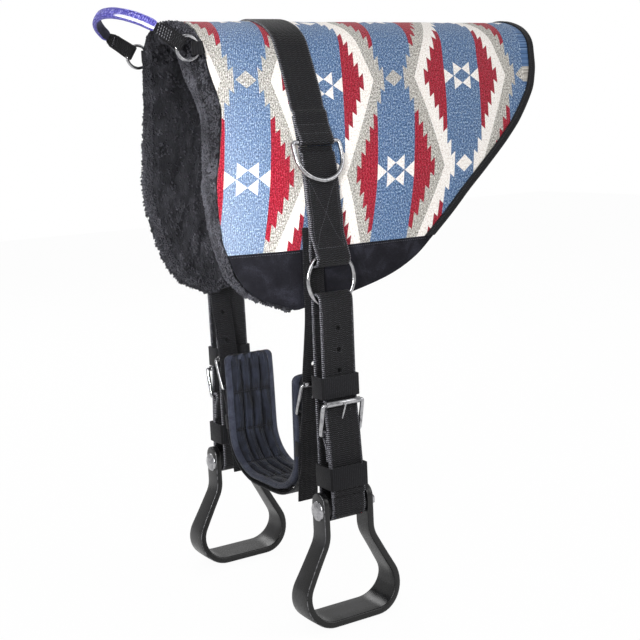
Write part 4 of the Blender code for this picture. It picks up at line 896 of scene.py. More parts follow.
# The near flap's soft front edge bellies forward low down, as (arcs, distances); then the cover's start
NEAR_FULLNESS = [[arc_at(drop) for drop in (0, 0.05, 0.112, 0.154, 0.197, 0.239, 0.281, 0.315, 0.344, 0.366)],
                 [0, -0.001, -0.005, 0, 0.006, 0.010, 0.014, 0.017, 0.014, 0.004]]
LIP_REACH = [[arc_at(drop) for drop in (0, 0.02, 0.05, 0.112, 0.154, 0.197, 0.239, 0.270, 0.315, 0.366)],
             [0.030, 0.027, 0.025, 0.020, 0.015, 0.011, 0.008, 0.006, 0.009, 0.010]]


def front_x(arc):
    """X of the soft front edge at a distance over the pad."""
    full = np.interp(-arc, *NEAR_FULLNESS) if arc < 0 else 0
    return float(np.interp(abs(arc), EDGE_ARCS, FRONT_EDGE) - full)


def front_lip(arc):
    """How far behind the front edge the cover starts; the roll of fleece fills what is left."""
    return float(np.interp(abs(arc), *LIP_REACH))


def rear_x(arc):
    """X of the rear edge at a distance over the pad."""
    return float(np.interp(abs(arc), EDGE_ARCS, REAR_EDGE))


def rear_stretch(arc):
    """How much longer a distance from the rear edge is when measured along X."""
    start, end = max(abs(arc) - 0.02, 0), min(abs(arc) + 0.02, ARC_END)
    return math.hypot(1, (rear_x(end) - rear_x(start)) / (end - start))


def pinch(x, arc):
    """Share of its full thickness that the pad has left near its bound edge."""
    near = float(np.min(np.hypot(REAR_EDGE - x, EDGE_ARCS - abs(arc))))
    return 1 - PINCH_SHARE * max(0.0, 1 - near / PINCH_REACH)


def on_pad(x, arc, depth=0.0, beyond=0.0):
    """A point of the pad, at a depth under its outer face and a distance beyond that depth."""
    reach = PAD_FRONT - NARROW_FROM
    t = clamped((-x - NARROW_FROM) / reach)
    width = 1 - NARROW_SHARE * t * t * (3 - 2 * t)
    slope = NARROW_SHARE * 6 * t * (1 - t) / reach
    out, rise = (float(np.interp(abs(arc), ARCS, SECTION[:, k])) for k in (0, 1))
    out_slope, rise_slope = (float(np.interp(abs(arc), ARCS, SLOPES[:, k])) for k in (0, 1))
    normal = Vector((out * slope * rise_slope, -rise_slope, out_slope * width)).normalized()
    sunk = depth * pinch(x, arc) + beyond
    place = Vector((x, out * width, PAD_THICK + rise)) - normal * sunk
    place.y = math.copysign(place.y, arc) if arc else 0.0
    return place


def sag(x, arc):
    """How far the blanket sinks between what holds it up: soft hollows, none under the straps."""
    clear = clamped((abs(x) - STRAP_CLEAR) / 0.03)
    broad = noise.noise(Vector((x * 11, arc * 9, 3.1))) * 0.5 + 0.5
    fine = noise.noise(Vector((x * 34, arc * 26, 7.7))) * 0.5 + 0.5
    return clear * RIPPLE * (1.3 * broad + 0.5 * fine)


def layer(name, look, arcs, ends, upper, lower, nodes, columns=110, bulge=None):
    """One closed sheet of the pad, as a flat loop draped over the form row by row.

    ends gives the front and rear X of a row, upper and lower the depths of its two faces.
    """
    rows = []
    flats = []
    for arc in arcs:
        front, rear = ends(arc)
        xs = [front + (rear - front) * k / columns for k in range(columns + 1)]
        faces = [(x, upper) for x in xs] + [(x, lower) for x in reversed(xs)]
        row = []
        for x, depth in faces:
            beyond = sag(x, arc)
            if bulge and depth is lower:
                beyond += bulge(x, arc)
            row.append(on_pad(x, arc, depth, beyond))
        rows.append(row)
        flats.append([(x, arc) for x, depth in faces])

    def mark(r, c):
        return motif_place(*flats[r][c % len(flats[r])])

    return piece(name, skin(rows, mark), look, "pad", nodes, 60)


def motif_place(x, arc):
    """Column and row of the blanket's pattern at a point of the cover, as numbers from ten on."""
    below = abs(arc) - MOTIF_ARC
    middles = [middle - lean * below for middle, lean in zip(MOTIF_X, MOTIF_LEAN)]
    middles = [middles[0] - MOTIF_SPACING] + middles + [middles[-1] + MOTIF_SPACING]
    column = float(np.interp(x, middles, range(-1, 5)))
    first, second = (float(np.interp(column, range(4), shifts)) for shifts in MOTIF_SHIFT)
    return column + 10, (below - first) / (MOTIF_ROW + second - first) + 10


def even_arcs(start, end, step):
    """Distances from a start to an end, about a step apart."""
    count = max(1, round((end - start) / step))
    return [start + (end - start) * k / count for k in range(count + 1)]


def make_pad():
    """Woven cover, foam, fleece with its pile, suede panels, edge tape and the seams that join them."""
    seam = arc_at(PANEL_DROP)
    inset = BINDING_THICK + LAYER_GAP
    cover_ends = lambda a: (front_x(a) + front_lip(a) + 0.0012 + 0.0012 * noise.noise(Vector((a * 55, 0, 3.3))),
                            rear_x(a) - inset * rear_stretch(a))
    whole_ends = lambda a: (front_x(a) + 0.004, rear_x(a) - inset * rear_stretch(a))
    cover = layer("blanket_cover", "woven_wool", even_arcs(-seam, seam, 0.005), cover_ends,
                  0.0, COVER_THICK, ["woven_cover"], 112)
    sheet_area(-seam, seam, cover_ends)
    layer("foam_sheet", "foam", even_arcs(-ARC_END, ARC_END, 0.010), cover_ends, COVER_THICK + PLY_GAP,
          COVER_THICK + FOAM_REACH, ["foam_core"], 50)
    for side, end in SIDES:
        arcs = [side * a for a in even_arcs(seam + LAYER_GAP, ARC_END, 0.005)]
        panel = layer("suede_panel_" + end, "black_suede", arcs, cover_ends, 0.0, COVER_THICK,
                      ["wear_panel_" + end], 70)
        sheet_area(seam, ARC_END, cover_ends)
    make_fleece(whole_ends)
    make_binding(seam)


def sheet_area(start, end, ends):
    """Flat area of a sheet cut to the pad's outline between two arcs."""
    arcs = np.linspace(start, end, 200)
    widths = [ends(a)[1] - ends(a)[0] for a in arcs]
    return float(np.sum(widths) * abs(end - start) / 200)


def curls(x, arc):
    """Height of the fleece's locks and clumps above its backing."""
    clump = noise.noise(Vector((x * 60 + 2 * noise.noise(Vector((x * 30, arc * 12, 0.5))), arc * 26, 4.2)))
    lock = noise.noise(Vector((x * 170, arc * 70, 1.3)))
    small = noise.noise(Vector((x * 420, arc * 190, 9.2)))
    ridge = 1 - abs(noise.noise(Vector((x * 38, arc * 30 + x * 20, 6.6)))) * 2.6
    return 0.0020 * clump + 0.0034 * ridge + 0.0012 * (lock + 0.6 * small) - 0.0002


def lock(root, out, hang, long, width, chance):
    """One curled lock of pile, from its root to its tip."""
    stray = Vector([chance.uniform(-1, 1) for _ in range(3)])
    aim = (out + stray * 0.3 + hang * 0.4).normalized()
    bent = (out * 0.3 + hang + stray * 0.4).normalized()
    middle = root + aim * long * 0.40
    return [(root - out * 0.001, width), (middle, width * 0.9), (middle + bent * long * 0.35, width * 0.65),
            (middle + bent * long * 0.65 - out * 0.0008, 0.0)]


def make_fleece(ends):
    """Backing with a lumpy pile, a thick roll along the front edge, and loose locks on both."""
    top = COVER_THICK + FLEECE_START
    rows = []
    arcs = even_arcs(-ARC_END, ARC_END, 0.0045)
    nose = ((0.0, 0.62), (0.06, 0.34), (0.2, 0.16), (0.4, 0.07), (0.6, 0.03), (0.8, 0.03), (0.95, 0.10),
            (1.06, 0.30), (1.2, 0.55))
    for arc in arcs:
        front, rear, lip = front_x(arc), ends(arc)[1], front_lip(arc)
        row = []
        for share, depth in nose:
            fuzz = 0.0016 * noise.noise(Vector((share * 3, arc * 110, 5.0)))
            lump = 0.0022 * noise.noise(Vector((share * 4, arc * 140, 2.0)))
            x = front + lip * share - fuzz
            row.append(on_pad(x, arc, depth * PAD_THICK, sag(x, arc) - lump))
        start = front + lip * 1.3
        xs = [start + (rear - start) * k / 105 for k in range(106)]
        row += [on_pad(x, arc, top, sag(x, arc)) for x in xs]
        row += [on_pad(x, arc, PAD_THICK, curls(x, arc)) for x in reversed(xs)]
        for share, depth in ((0.7, 0.99), (0.25, 0.90)):
            row.append(on_pad(front + 0.010 * share, arc, depth * PAD_THICK, curls(front, arc) * 0.5))
        rows.append(row)
    lining = piece("fleece_backing", skin(rows, lambda r, c: (0.0, 0.0)), "dark_pile", "pad",
                   ["fleece_lining"], 80)
    make_locks(ends)


def make_locks(ends):
    """Curled locks: over the roll at the front, along the lower edges and all over the inside."""
    chance = random.Random(5)
    roll, inside = [], []
    for _ in range(ROLL_LOCKS):
        arc = chance.uniform(-ARC_END, ARC_END)
        front = front_x(arc)
        turn = chance.uniform(-0.75, 1.0)
        sunk = 0.52 - 0.44 * math.sin(turn * math.pi / 2)
        lip = front_lip(arc)
        if turn < 0.6:
            x = front + 0.010 * (0.55 - 0.55 * math.cos(turn * math.pi / 2)) + 0.001
        else:
            x, sunk = front + lip * chance.uniform(0.15, 0.98), 0.05
        root = on_pad(x, arc, PAD_THICK * sunk, sag(x, arc))
        out = (root - on_pad(x + 0.006, arc, PAD_THICK * 0.55)).normalized()
        swirl = Vector((noise.noise(root * 45), noise.noise(root * 45 + Vector((9, 0, 0))), -0.6)) * 1.4
        # Near-side roll locks take the lighter pile as painted light; the far side's locks take the dark pile.
        shown = roll if arc < 0 else inside
        shown.append(lock(root, out, swirl, chance.uniform(0.0030, 0.0052),
                          chance.uniform(0.0011, 0.0018), chance))
    for _ in range(EDGE_LOCKS):
        arc = math.copysign(ARC_END - 0.0005, chance.uniform(-1, 1))
        x = chance.uniform(front_x(arc) + 0.004, ends(arc)[1])
        root = on_pad(x, arc, PAD_THICK * chance.uniform(0.55, 1.0))
        inside.append(lock(root, Vector((0, 0, -1)), Vector((0, 0, -0.35)), chance.uniform(0.002, 0.004),
                           chance.uniform(0.0011, 0.0017), chance))
    for _ in range(INSIDE_LOCKS):
        arc = chance.uniform(-ARC_END, ARC_END)
        front, rear = front_x(arc), ends(arc)[1]
        x = chance.uniform(front + 0.004, rear - 0.006)
        root = on_pad(x, arc, PAD_THICK, curls(x, arc) - 0.001)
        out = (root - on_pad(x, arc, 0)).normalized()
        swirl = Vector((noise.noise(root * 32), noise.noise(root * 32 + Vector((9, 0, 0))), -0.8))
        inside.append(lock(root, out, swirl, chance.uniform(0.0035, 0.0060),
                           chance.uniform(0.0014, 0.0024), chance))
    piece("fleece_roll", strands(roll, 3), "painted_lit_pile", "pad", (), 180)
    piece("fleece_locks", strands(inside, 3), "dark_pile", "pad", (), 180)


def make_binding(seam):
    """Grosgrain tape folded over the rear rim, with its stitches, and those along the wear panels.

    The panels' lines stop short of the billets, which swing over them.
    """
    rows = []
    arcs = even_arcs(-seam, seam, 0.004)
    outer = ((12.0, 0.0), (7.0, 0.0), (2.4, 0.0), (0.9, 0.05), (0.1, 0.2), (0.0, 0.5),
             (0.1, 0.8), (0.9, 0.95), (2.4, 1.0), (7.0, 1.0), (12.0, 1.0))
    wall = BINDING_THICK + LAYER_GAP
    for arc in arcs:
        stretch = rear_stretch(arc)
        edge = rear_x(arc)
        row = []
        for inwards, share in outer:
            row.append(on_pad(edge - inwards / 1000 * stretch, arc, share * PAD_THICK,
                              (share * 2 - 1) * wall + (1 - share) * sag(edge, arc)))
        for inwards, share in reversed(outer):
            inner = max(inwards, 1.5)
            row.append(on_pad(edge - inner / 1000 * stretch, arc, share * PAD_THICK,
                              (share * 2 - 1) * LAYER_GAP * 0.5 + (1 - share) * sag(edge, arc)))
        rows.append(row)
    count = len(outer)
    marks = [i * 0.0045 for i in range(count)]
    marks += marks[::-1]
    bm = skin(rows, lambda r, c: (marks[c % len(marks)], arcs[r]))
    piece("rim_tape", bm, "edge_tape", "pad", ["edge_binding"], 60)
    line = [on_pad(rear_x(a) - 0.0088 * rear_stretch(a), a, 0, -wall + sag(rear_x(a), a)) for a in arcs]
    sew("rim_stitches", [line], "black_thread", "pad")
    lines = []
    for side in (-1, 1):
        arc = side * (seam + PANEL_SEAM_IN)
        front, rear = front_x(arc) + front_lip(arc) + 0.004, rear_x(arc) - 0.012
        for start, end in ((front, -BILLET_CLEAR), (BILLET_CLEAR, rear)):
            xs = np.linspace(start, end, 60)
            lines.append([on_pad(float(x), arc, 0, sag(float(x), arc)) for x in xs])
    sew("panel_stitches", lines, "black_thread", "pad")


def sew(name, lines, look, body, pitch=0.0032, radius=0.0004):
    """Stitches along lines, each a short thread sunk at both ends."""
    runs = []
    for line in lines:
        travel = lengths(line)
        for k in range(int(travel[-1] / pitch)):
            spots = [point_along(line, travel, (k + share) * pitch) for share in (0.12, 0.3, 0.7, 0.88)]
            runs.append([(spots[0], 0.0), (spots[1], radius), (spots[2], radius), (spots[3], 0.0)])
    return piece(name, strands(runs, 5), look, body, (), 180)


def point_along(line, travel, distance):
    """The point of a line at a distance along it."""
    i = min(int(np.searchsorted(travel, distance, side="right")) - 1, len(line) - 2)
    return line[i].lerp(line[i + 1], (distance - travel[i]) / max(travel[i + 1] - travel[i], 1e-9))


# Straps and metalwork

def sewn_on(name, made, lines, side, body):
    """Grey stitches on the outer face of a strap, along lines given as (x, height) corners."""
    tree = BVHTree.FromObject(made, bpy.context.evaluated_depsgraph_get())
    laid_lines = []
    for corners in lines:
        line = []
        for start, end in zip(corners, corners[1:]):
            count = max(2, int(math.dist(start, end) / 0.003))
            for k in range(count + 1):
                x = start[0] + (end[0] - start[0]) * k / count
                z = start[1] + (end[1] - start[1]) * k / count
                spot = tree.ray_cast(Vector((x, side * 0.3, z)), Vector((0, -side, 0)))[0]
                if spot:
                    line.append(spot)
        laid_lines.append(line)
    return sew(name, laid_lines, "grey_thread", body, STRAP_PITCH)


def stitched_box(half, high, low):
    """Outline and both diagonals of a sewn box."""
    return [[(-half, high), (half, high), (half, low), (-half, low), (-half, high), (half, low)],
            [(half, high), (-half, low)]]


def roller(node, wall=0.0009):
    """A tube that turns on the buckle's bar, its rims slightly rolled over."""
    low, high = (Vector(p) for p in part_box(node))
    centre = (low + high) / 2
    half, radius = (high.x - low.x) / 2, (high.z - low.z) / 2
    soft = wall * 0.4
    profile = [(-half + soft, radius - wall), (-half, radius - wall + soft), (-half, radius - soft),
               (-half + soft, radius), (0, radius), (half - soft, radius), (half, radius - soft),
               (half, radius - wall + soft), (half - soft, radius - wall)]
    profile += [(0, radius - wall), profile[0]]
    return piece(node + "_tube", turned_shape(profile, centre, 32), "polished_nickel", body_of(node), [node])


def make_side(side):
    """Rings, straps, buckle and keepers of one side."""
    end = "left" if side < 0 else "right"
    for node, wire in (("upper_dring_", RING_WIRE), ("rigging_ring_", RING_WIRE),
                       ("strap_buckle_frame_", RING_WIRE), ("strap_buckle_prong_", PRONG_WIRE),
                       ("girth_buckle_frame_", SMALL_WIRE), ("girth_buckle_prong_", PRONG_WIRE),
                       ("handle_ring_", SMALL_WIRE)):
        rounded_wire(node + end, wire)
    for node in ("strap_buckle_roller_", "girth_buckle_roller_"):
        roller(node + end)
    for node in ("strap_keeper_upper_", "strap_keeper_lower_", "girth_keeper_"):
        softened(node + end, 0.0006)
    tab = softened("handle_tab_" + end, 0.0004)
    for vert in tab.data.vertices:
        vert.co.x = min(vert.co.x, TAB_TUCK + (vert.co.x - TAB_TUCK) * TAB_SHOWN)
    rigging = strap("rigging_strap_" + end)
    box = stitched_box(BOX_HALF, *(PAD_THICK - drop for drop in BOX_DROPS))
    sewn_on("rigging_stitches_" + end, rigging, box, side, "pad")
    holes = [(Vector((0, side * 0.148, PAD_THICK - drop)), Vector((0, side * 0.158, PAD_THICK - drop)), HOLE_RADIUS)
             for drop in STRAP_HOLE_DROPS]
    hung = strap("stirrup_strap_" + end, holes=holes)
    edges = [[(way * STRAP_SEAM_OUT, PAD_THICK - high), (way * STRAP_SEAM_OUT, PAD_THICK - low)]
             for high, low in STRAP_SEAM_DROPS for way in (-1, 1)]
    sewn_on("strap_stitches_" + end, hung, edges, side, body_of("stirrup_strap_" + end))
    holes = []
    for drop in BILLET_HOLE_DROPS:
        out = np.interp(drop, (0.375, 0.455), (0.1285, 0.110))
        holes.append((*(Vector((BILLET_HOLE_X, side * (out + way * 0.02), PAD_THICK - drop)) for way in (-1, 1)),
                      HOLE_RADIUS))
    strap("billet_" + end, holes=holes)
    make_stirrup(side, end)


def make_straps():
    """The strap over the ridge with its folds stitched, then what hangs on each side."""
    over = strap("surcingle_strap")
    for side, end in SIDES:
        lines = [[(-0.021, PAD_THICK - drop), (0.021, PAD_THICK - drop)] for drop in FOLD_DROPS]
        sewn_on("fold_stitches_" + end, over, lines, side, "pad")
        make_side(side)


# Stirrups

def stirrup_line():
    """Middle line of the stirrup's bar, from ear to ear, about the bolt's axis."""
    neck, corner = STIRRUP_NECK / 2, TREAD_CORNER_WIDTH / 2
    half = [(neck, EAR_RISE), (neck, -NECK_DROP), (corner, -TREAD_DROP)]
    corners = half + [(-x, z) for x, z in reversed(half)]
    line = rounded(corners, [0, NECK_FILLET, TREAD_FILLET, TREAD_FILLET, NECK_FILLET, 0], 14)
    ear = NECK_DEPTH / 2
    turns = range(0, 91, 10)
    start = [Vector((neck, EAR_RISE - ear * (1 - math.cos(math.radians(a))))) for a in turns]
    return start + divided(line[1:-1], line[2:-1]) + [line[-2]] + [Vector((-p.x, p.y)) for p in reversed(start)]


def bar_depth(z):
    """Depth of the bar along Y: round at the ears, widest at the tread."""
    ear = NECK_DEPTH / 2
    over = z - (EAR_RISE - ear)
    if over > 0:
        return 2 * math.sqrt(max(ear ** 2 - over ** 2, 0.000004))
    t = clamped((-z - NECK_DROP) / (TREAD_DROP - NECK_DROP))
    return NECK_DEPTH + (TREAD_DEPTH - NECK_DEPTH) * t * t


def bar_profile(thick, deep, soft):
    """Rounded oblong section of the bar, its broad faces barely crowned."""
    points = []
    for a, b in ((1, 1), (-1, 1), (-1, -1), (1, -1)):
        turn = [0, 22.5, 45, 67.5, 90] if a * b > 0 else [90, 67.5, 45, 22.5, 0]
        for angle in turn:
            u, v = math.cos(math.radians(angle)), math.sin(math.radians(angle))
            points.append((a * (thick - soft + soft * u), b * (deep - soft + soft * v)))
        if b > 0 and a > 0:
            points.append((0, deep + 0.0002))
        if a < 0 and b > 0:
            points += [(-thick - 0.0004, deep * 0.4), (-thick - 0.0005, 0), (-thick - 0.0004, -deep * 0.4)]
        if a < 0 and b < 0:
            points.append((0, -deep - 0.0002))
    points += [(thick, -deep * 0.4), (thick, deep * 0.4)]
    return points


def make_stirrup(side, end):
    """Cast stirrup, its bolt through the ears, the nut and the sleeve."""
    axis = Vector((0, side * SLEEVE_OUT, SLEEVE_HEIGHT))
    line = stirrup_line()
    rows = []
    for place, along in zip(line, tangents(line)):
        normal = Vector((along.y, -along.x))
        deep = bar_depth(place.y) / 2
        soft = min(0.0022, deep * 0.8)
        row = []
        for across, along_y in bar_profile(STIRRUP_BAR / 2, deep, soft):
            spot = place + normal * across
            row.append(axis + Vector((spot.x, along_y, spot.y)))
        rows.append(row)
    body = body_of("stirrup_" + end)
    # Profile points on the bar's outer corners, where the powder coat has its painted highlight.
    painted_highlight = [u < 0 and abs(abs(v) - 0.927) < 0.02 for u, v in bar_profile(1, 1, 0.25)]
    bm = skin(rows, lambda r, c: (painted_highlight[c % len(painted_highlight)], 0.0))
    piece("stirrup_cast_" + end, bm, "satin_powder_coat", body, ["stirrup_" + end])
    outer = STIRRUP_NECK / 2 + STIRRUP_BAR / 2
    inner = outer - STIRRUP_BAR
    face = -outer - FIT_GAP
    head = [(face - 0.005 * math.sin(math.radians(a)), 0.01325 * math.cos(math.radians(a)))
            for a in range(90, -1, -9)]
    head[0] = (head[0][0], 0)
    head += [(face, 0.0125), (face, 0.004), (outer + 0.004, 0.004), (outer + 0.004, 0)]
    piece("bolt_" + end, turned_shape(head, axis), "polished_nickel", body, ["stirrup_bolt_" + end], 40)
    seat = outer + FIT_GAP
    nut = [(seat, 0.0043), (seat, 0.0072), (seat + 0.0008, 0.008), (seat + 0.0066, 0.008),
           (seat + 0.0076, 0.0068), (seat + 0.0080, 0.0040), (seat + 0.0080, 0)]
    piece("nut_" + end, turned_shape(nut, axis, 6), "polished_nickel", body, ["stirrup_nut_" + end], 20)
    long = inner - FIT_GAP
    tube = [(-long, 0.0045), (-long, 0.0119), (-long + 0.0006, 0.0125), (long - 0.0006, 0.0125),
            (long, 0.0119), (long, 0.0045), (-long, 0.0045)]
    piece("sleeve_" + end, turned_shape(tube, axis, 40), "moulded_nylon",
          body_of("stirrup_sleeve_" + end), ["stirrup_sleeve_" + end], 40)


# Girth

def girth_line():
    """The U that the girth follows."""
    top, low = Vector(GIRTH_TOP), Vector(GIRTH_LOW)
    along = (low - top).normalized()
    corner = top + along * ((low.y - top.y) / along.y)
    corners = [top, corner, Vector((-corner.x, corner.y)), Vector((-top.x, top.y))]
    line = rounded(corners, [0, GIRTH_BEND, GIRTH_BEND, 0], 30)
    travel = lengths(line)
    return [point_along(line, travel, travel[-1] * k / 240) for k in range(241)]


def puff(share):
    """Rise of a stuffed channel or block between its seams."""
    return max(1 - abs(2 * share - 1) ** 2.2, 0) ** 0.7


def girth_outline():
    """The girth's edge as (distance, x) points, its four corners rounded."""
    half, corner, length = GIRTH_WIDTH / 2, GIRTH_CORNER, lengths(girth_line())[-1]
    line = rounded([(corner, -half), (length, -half), (length, half), (0, half), (0, -half), (corner, -half)],
                   [0, corner, corner, corner, corner, 0], 6)
    return divided(line[:-1], line[1:-1])


def make_girth():
    """Quilted pad of the girth, puffed between lengthwise channels and cross seams, and its web."""
    line = girth_line()
    travel = lengths(line)
    total = travel[-1]
    block = total / GIRTH_BLOCKS
    inside = GIRTH_WIDTH - 2 * GIRTH_RIM
    steps = 14
    columns = [-GIRTH_WIDTH / 2, -GIRTH_WIDTH / 2 + GIRTH_RIM * 0.5]
    columns += [-inside / 2 + inside * k / (steps * GIRTH_CHANNELS) for k in range(steps * GIRTH_CHANNELS + 1)]
    columns += [GIRTH_WIDTH / 2 - GIRTH_RIM * 0.5, GIRTH_WIDTH / 2]
    rows = []
    for place, along, distance in zip(line, tangents(line), travel):
        normal = Vector((along.y, -along.x))
        share = distance / block % 1
        near = min(share, 1 - share) * block
        short = max(GIRTH_CORNER - min(distance, total - distance), 0)
        shrink = 1 - (GIRTH_CORNER - math.sqrt(GIRTH_CORNER ** 2 - short ** 2)) / (GIRTH_WIDTH / 2)
        flat = 0.45 if abs(distance / total - 0.5) < 1 / GIRTH_BLOCKS else 1.0
        lift = 0.10 + 0.90 * puff(share)
        top, under = [], []
        for x in columns:
            lane = (x + inside / 2) / inside * GIRTH_CHANNELS
            crown = puff(lane % 1) if 0 < lane < GIRTH_CHANNELS else 0
            gather = noise.noise(Vector((x * 190, distance * 18, 4.4))) * math.exp(-near / 0.022)
            crease = noise.noise(Vector((x * 120, distance * 24, 8.8)))
            rise = 0.0008 + 0.0074 * crown * lift * (0.6 + 0.4 * flat)
            rise += (0.0060 * gather + 0.0026 * crease) * min(crown + 0.1, 1) * flat
            edge = abs(x) > GIRTH_WIDTH / 2 - 1e-4
            fall = 0.0022 + 0.0050 * crown * lift + 0.0008 * crease * crown
            across = GIRTH_X + x * shrink
            top.append(Vector((across, *(place - normal * (0.0016 if edge else rise)))))
            under.append(Vector((across, *(place + normal * (0.0016 if edge else fall)))))
        rows.append(top + under[::-1])
    lanes = [(x + inside / 2) / inside * GIRTH_CHANNELS + 10 for x in columns]
    lanes += lanes[::-1]
    bm = skin(rows, lambda r, c: (lanes[c % len(lanes)], travel[r] / block + 10))
    pad = piece("girth_quilting", bm, "navy_nylon", "girth", ["girth_pad"], 70)
    outline = girth_outline()
    fold = ((0.0080, 0.0036), (0.0040, 0.0036), (0.0010, 0.0031), (-0.0005, 0.0), (0.0010, -0.0031),
            (0.0040, -0.0036), (0.0080, -0.0036), (0.0080, -0.0024), (0.0012, -0.0018), (0.0012, 0.0018),
            (0.0080, 0.0024))
    strip = []
    turns = tangents(line)
    for before, spot, after in zip(outline[-1:] + outline[:-1], outline, outline[1:] + outline[:1]):
        way = (after - before).normalized()
        inward = Vector((-way.y, way.x))
        ring = []
        for a, b in fold:
            reach = spot + inward * a
            distance = min(max(reach.x, 0), total)
            place = point_along(line, travel, distance)
            turn = turns[min(int(distance / total * (len(line) - 1)), len(line) - 1)]
            normal = Vector((turn.y, -turn.x))
            ring.append(Vector((GIRTH_X + reach.y, *(place + normal * b))))
        strip.append(ring)
    band = piece("girth_binding", skin(strip, lambda r, c: (0.0, 0.0), True, True), "navy_binding", "girth",
                 (), 60)
    seams = []
    for k in range(1, GIRTH_BLOCKS):
        place = point_along(line, travel, k * block)
        along = (point_along(line, travel, k * block + 0.001) - place).normalized()
        normal = Vector((along.y, -along.x))
        for way in (-1, 1):
            seams.append([Vector((GIRTH_X + x, *(place + normal * way * 0.0029)))
                          for x in np.linspace(-inside / 2, inside / 2, 30)])
    stitches = sew("girth_seams", seams, "navy_thread", "girth")
    web = strap("girth_web")
    for part in (pad, band, stitches, web):
        for vert in part.data.vertices:
            down = clamped((GIRTH_TOP[1] - vert.co.z) / (GIRTH_TOP[1] - GIRTH_LOW[1]))
            vert.co.y *= 1 + GIRTH_SPREAD * down * down * (3 - 2 * down)


# Hand hold

HANDLE_FORWARD = Vector((-math.cos(HANDLE_TILT), 0, math.sin(HANDLE_TILT)))
HANDLE_SQUARE = Vector((math.sin(HANDLE_TILT), 0, math.cos(HANDLE_TILT)))


def handle_point(out, reach, across=0.0):
    """A point of the hand hold's own plane, which leans up and forward from its rings."""
    return Vector((HANDLE_X, out, HANDLE_HEIGHT)) + HANDLE_FORWARD * reach + HANDLE_SQUARE * across


def make_handle():
    """Web round both rings, with the padded blue sleeve over it and the cuffs' stitches."""
    web = strap("handle_web", HANDLE_SQUARE)
    middle = handle_point(0.0, 0.0)
    for vert in web.data.vertices:
        off, reach = ((vert.co - middle).dot(way) for way in (HANDLE_SQUARE, HANDLE_FORWARD))
        vert.co -= HANDLE_SQUARE * off * 0.5 * clamped((reach - HANDLE_COVER_START + 0.008) / 0.010)
    half = HANDLE_OUT + 0.0012
    rise = HANDLE_REACH - HANDLE_SHOULDER
    bow = [Vector((half * math.cos(a), HANDLE_SHOULDER + rise * math.sin(a)))
           for a in np.linspace(0, math.pi, 91)]
    bow = [p for p in bow if p.y > HANDLE_COVER_START]
    travel = lengths(bow)
    rows = []
    wide, thick = HANDLE_COVER_WIDTH / 2, HANDLE_COVER_THICK / 2
    sides = 28
    for place, along, distance in zip(bow, tangents(bow), travel):
        normal = Vector((along.y, -along.x))
        near = min(distance, travel[-1] - distance)
        full = 0.80 + 0.20 * min(near / 0.006, 1) ** 0.5
        row = []
        for k in range(sides):
            turn = 2 * math.pi * k / sides
            u = math.copysign(abs(math.cos(turn)) ** 0.75, math.cos(turn)) * thick * full
            v = math.copysign(abs(math.sin(turn)) ** 0.62, math.sin(turn)) * wide * full
            dent = 1 + 0.03 * noise.noise(Vector((distance * 60, turn, 2.0)))
            spot = place + normal * u * dent
            row.append(handle_point(spot.x, spot.y, v * dent))
        rows.append(row)
    bm = skin(rows, lambda r, c: (GRIP_AROUND * c / sides, travel[r]))
    cover = piece("grip_sleeve", bm, "blue_grip_webbing", "handle", ["handle_cover"], 60)
    lines = []
    for way in (-1, 1):
        for face in (-1, 1):
            for k in range(7):
                start = 0.0225 + k * 0.0034
                line = []
                for t in np.linspace(0, 1, 8):
                    out = way * (HANDLE_OUT + 0.0014 + face * 0.0012)
                    line.append(handle_point(out, start + 0.003 * t, (t - 0.5) * 0.016))
                lines.append(line)
    sew("cuff_stitches", lines, "pale_thread", "handle", 0.0036, 0.00045)


# The picture

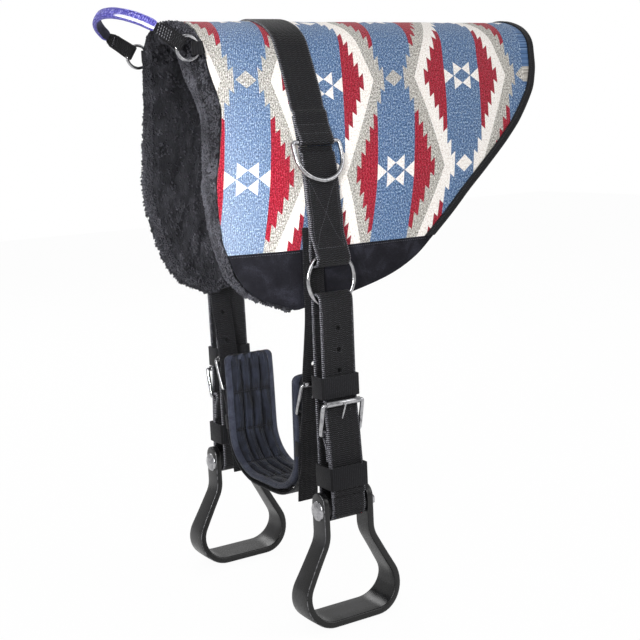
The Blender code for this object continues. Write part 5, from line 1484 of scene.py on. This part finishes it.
def make_camera():
    """The photograph's view."""
    data = bpy.data.cameras.new("photograph_view")
    data.sensor_width = SENSOR_MM
    data.lens = SENSOR_MM * FOCAL_PIXELS / IMAGE_SIDE
    ahead = Vector((-math.sin(CAMERA_TURN) * math.cos(CAMERA_PITCH),
                    math.cos(CAMERA_TURN) * math.cos(CAMERA_PITCH), -math.sin(CAMERA_PITCH)))
    level = Vector((math.cos(CAMERA_TURN), math.sin(CAMERA_TURN), 0))
    above = level.cross(ahead)
    right = level * math.cos(CAMERA_ROLL) + above * math.sin(CAMERA_ROLL)
    up = -level * math.sin(CAMERA_ROLL) + above * math.cos(CAMERA_ROLL)
    camera = placed("photograph_view", data)
    turn = Matrix((right, up, -ahead)).transposed().to_4x4()
    camera.matrix_world = Matrix.Translation(CAMERA_PLACE) @ turn
    bpy.context.scene.camera = camera


def lamp(name, place, aim, size, power, spread=180):
    """A soft studio lamp, its light kept within a spread in degrees."""
    data = bpy.data.lights.new(name, "AREA")
    data.size = size
    data.spread = math.radians(spread)
    data.energy = power
    turn = (Vector(aim) - Vector(place)).to_track_quat("-Z", "Y").to_matrix().to_4x4()
    placed(name, data).matrix_world = Matrix.Translation(place) @ turn


def make_studio():
    """White floor, even white surroundings and four soft lamps."""
    bm = bmesh.new()
    bmesh.ops.create_grid(bm, x_segments=1, y_segments=1, size=6)
    floor = placed("studio_floor", mesh_of("studio_floor", bm))
    floor.data.transform(Matrix.Translation((0, 0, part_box("stirrup_left")[0][2] - 0.004)))
    floor.data.materials.append(looks["studio_paper"])
    world = bpy.data.worlds.new("studio")
    world.use_nodes = True
    bpy.context.scene.world = world
    tree = world.node_tree
    paths = add(tree, "LightPath").node.outputs
    seen = math_of(tree, "MAXIMUM", paths["Is Camera Ray"], paths["Is Transmission Ray"])
    strength = math_of(tree, "MULTIPLY_ADD", seen, 0.45, 0.55)
    background = tree.nodes["Background"]
    background.inputs["Color"].default_value = (1, 1, 1, 1)
    tree.links.new(strength, background.inputs["Strength"])
    lamp("key_lamp", (-1.15, -1.55, 0.85), (-0.1, 0, -0.2), 1.1, 20)
    lamp("front_lamp", (-1.1, -0.95, 0.0), (-0.26, -0.1, -0.22), 0.4, 1.0, 20)
    lamp("fill_lamp", (1.8, -1.6, 0.8), (0.1, 0, -0.3), 1.6, 14)
    lamp("back_lamp", (0.4, 2.4, 1.6), (0, 0, -0.3), 1.6, 26)
    bpy.context.scene.view_settings.view_transform = "Standard"


for thing in list(bpy.data.objects):
    bpy.data.objects.remove(thing)
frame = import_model()
make_camera()
looks = make_looks()
make_pad()
make_straps()
make_girth()
make_handle()
make_studio()
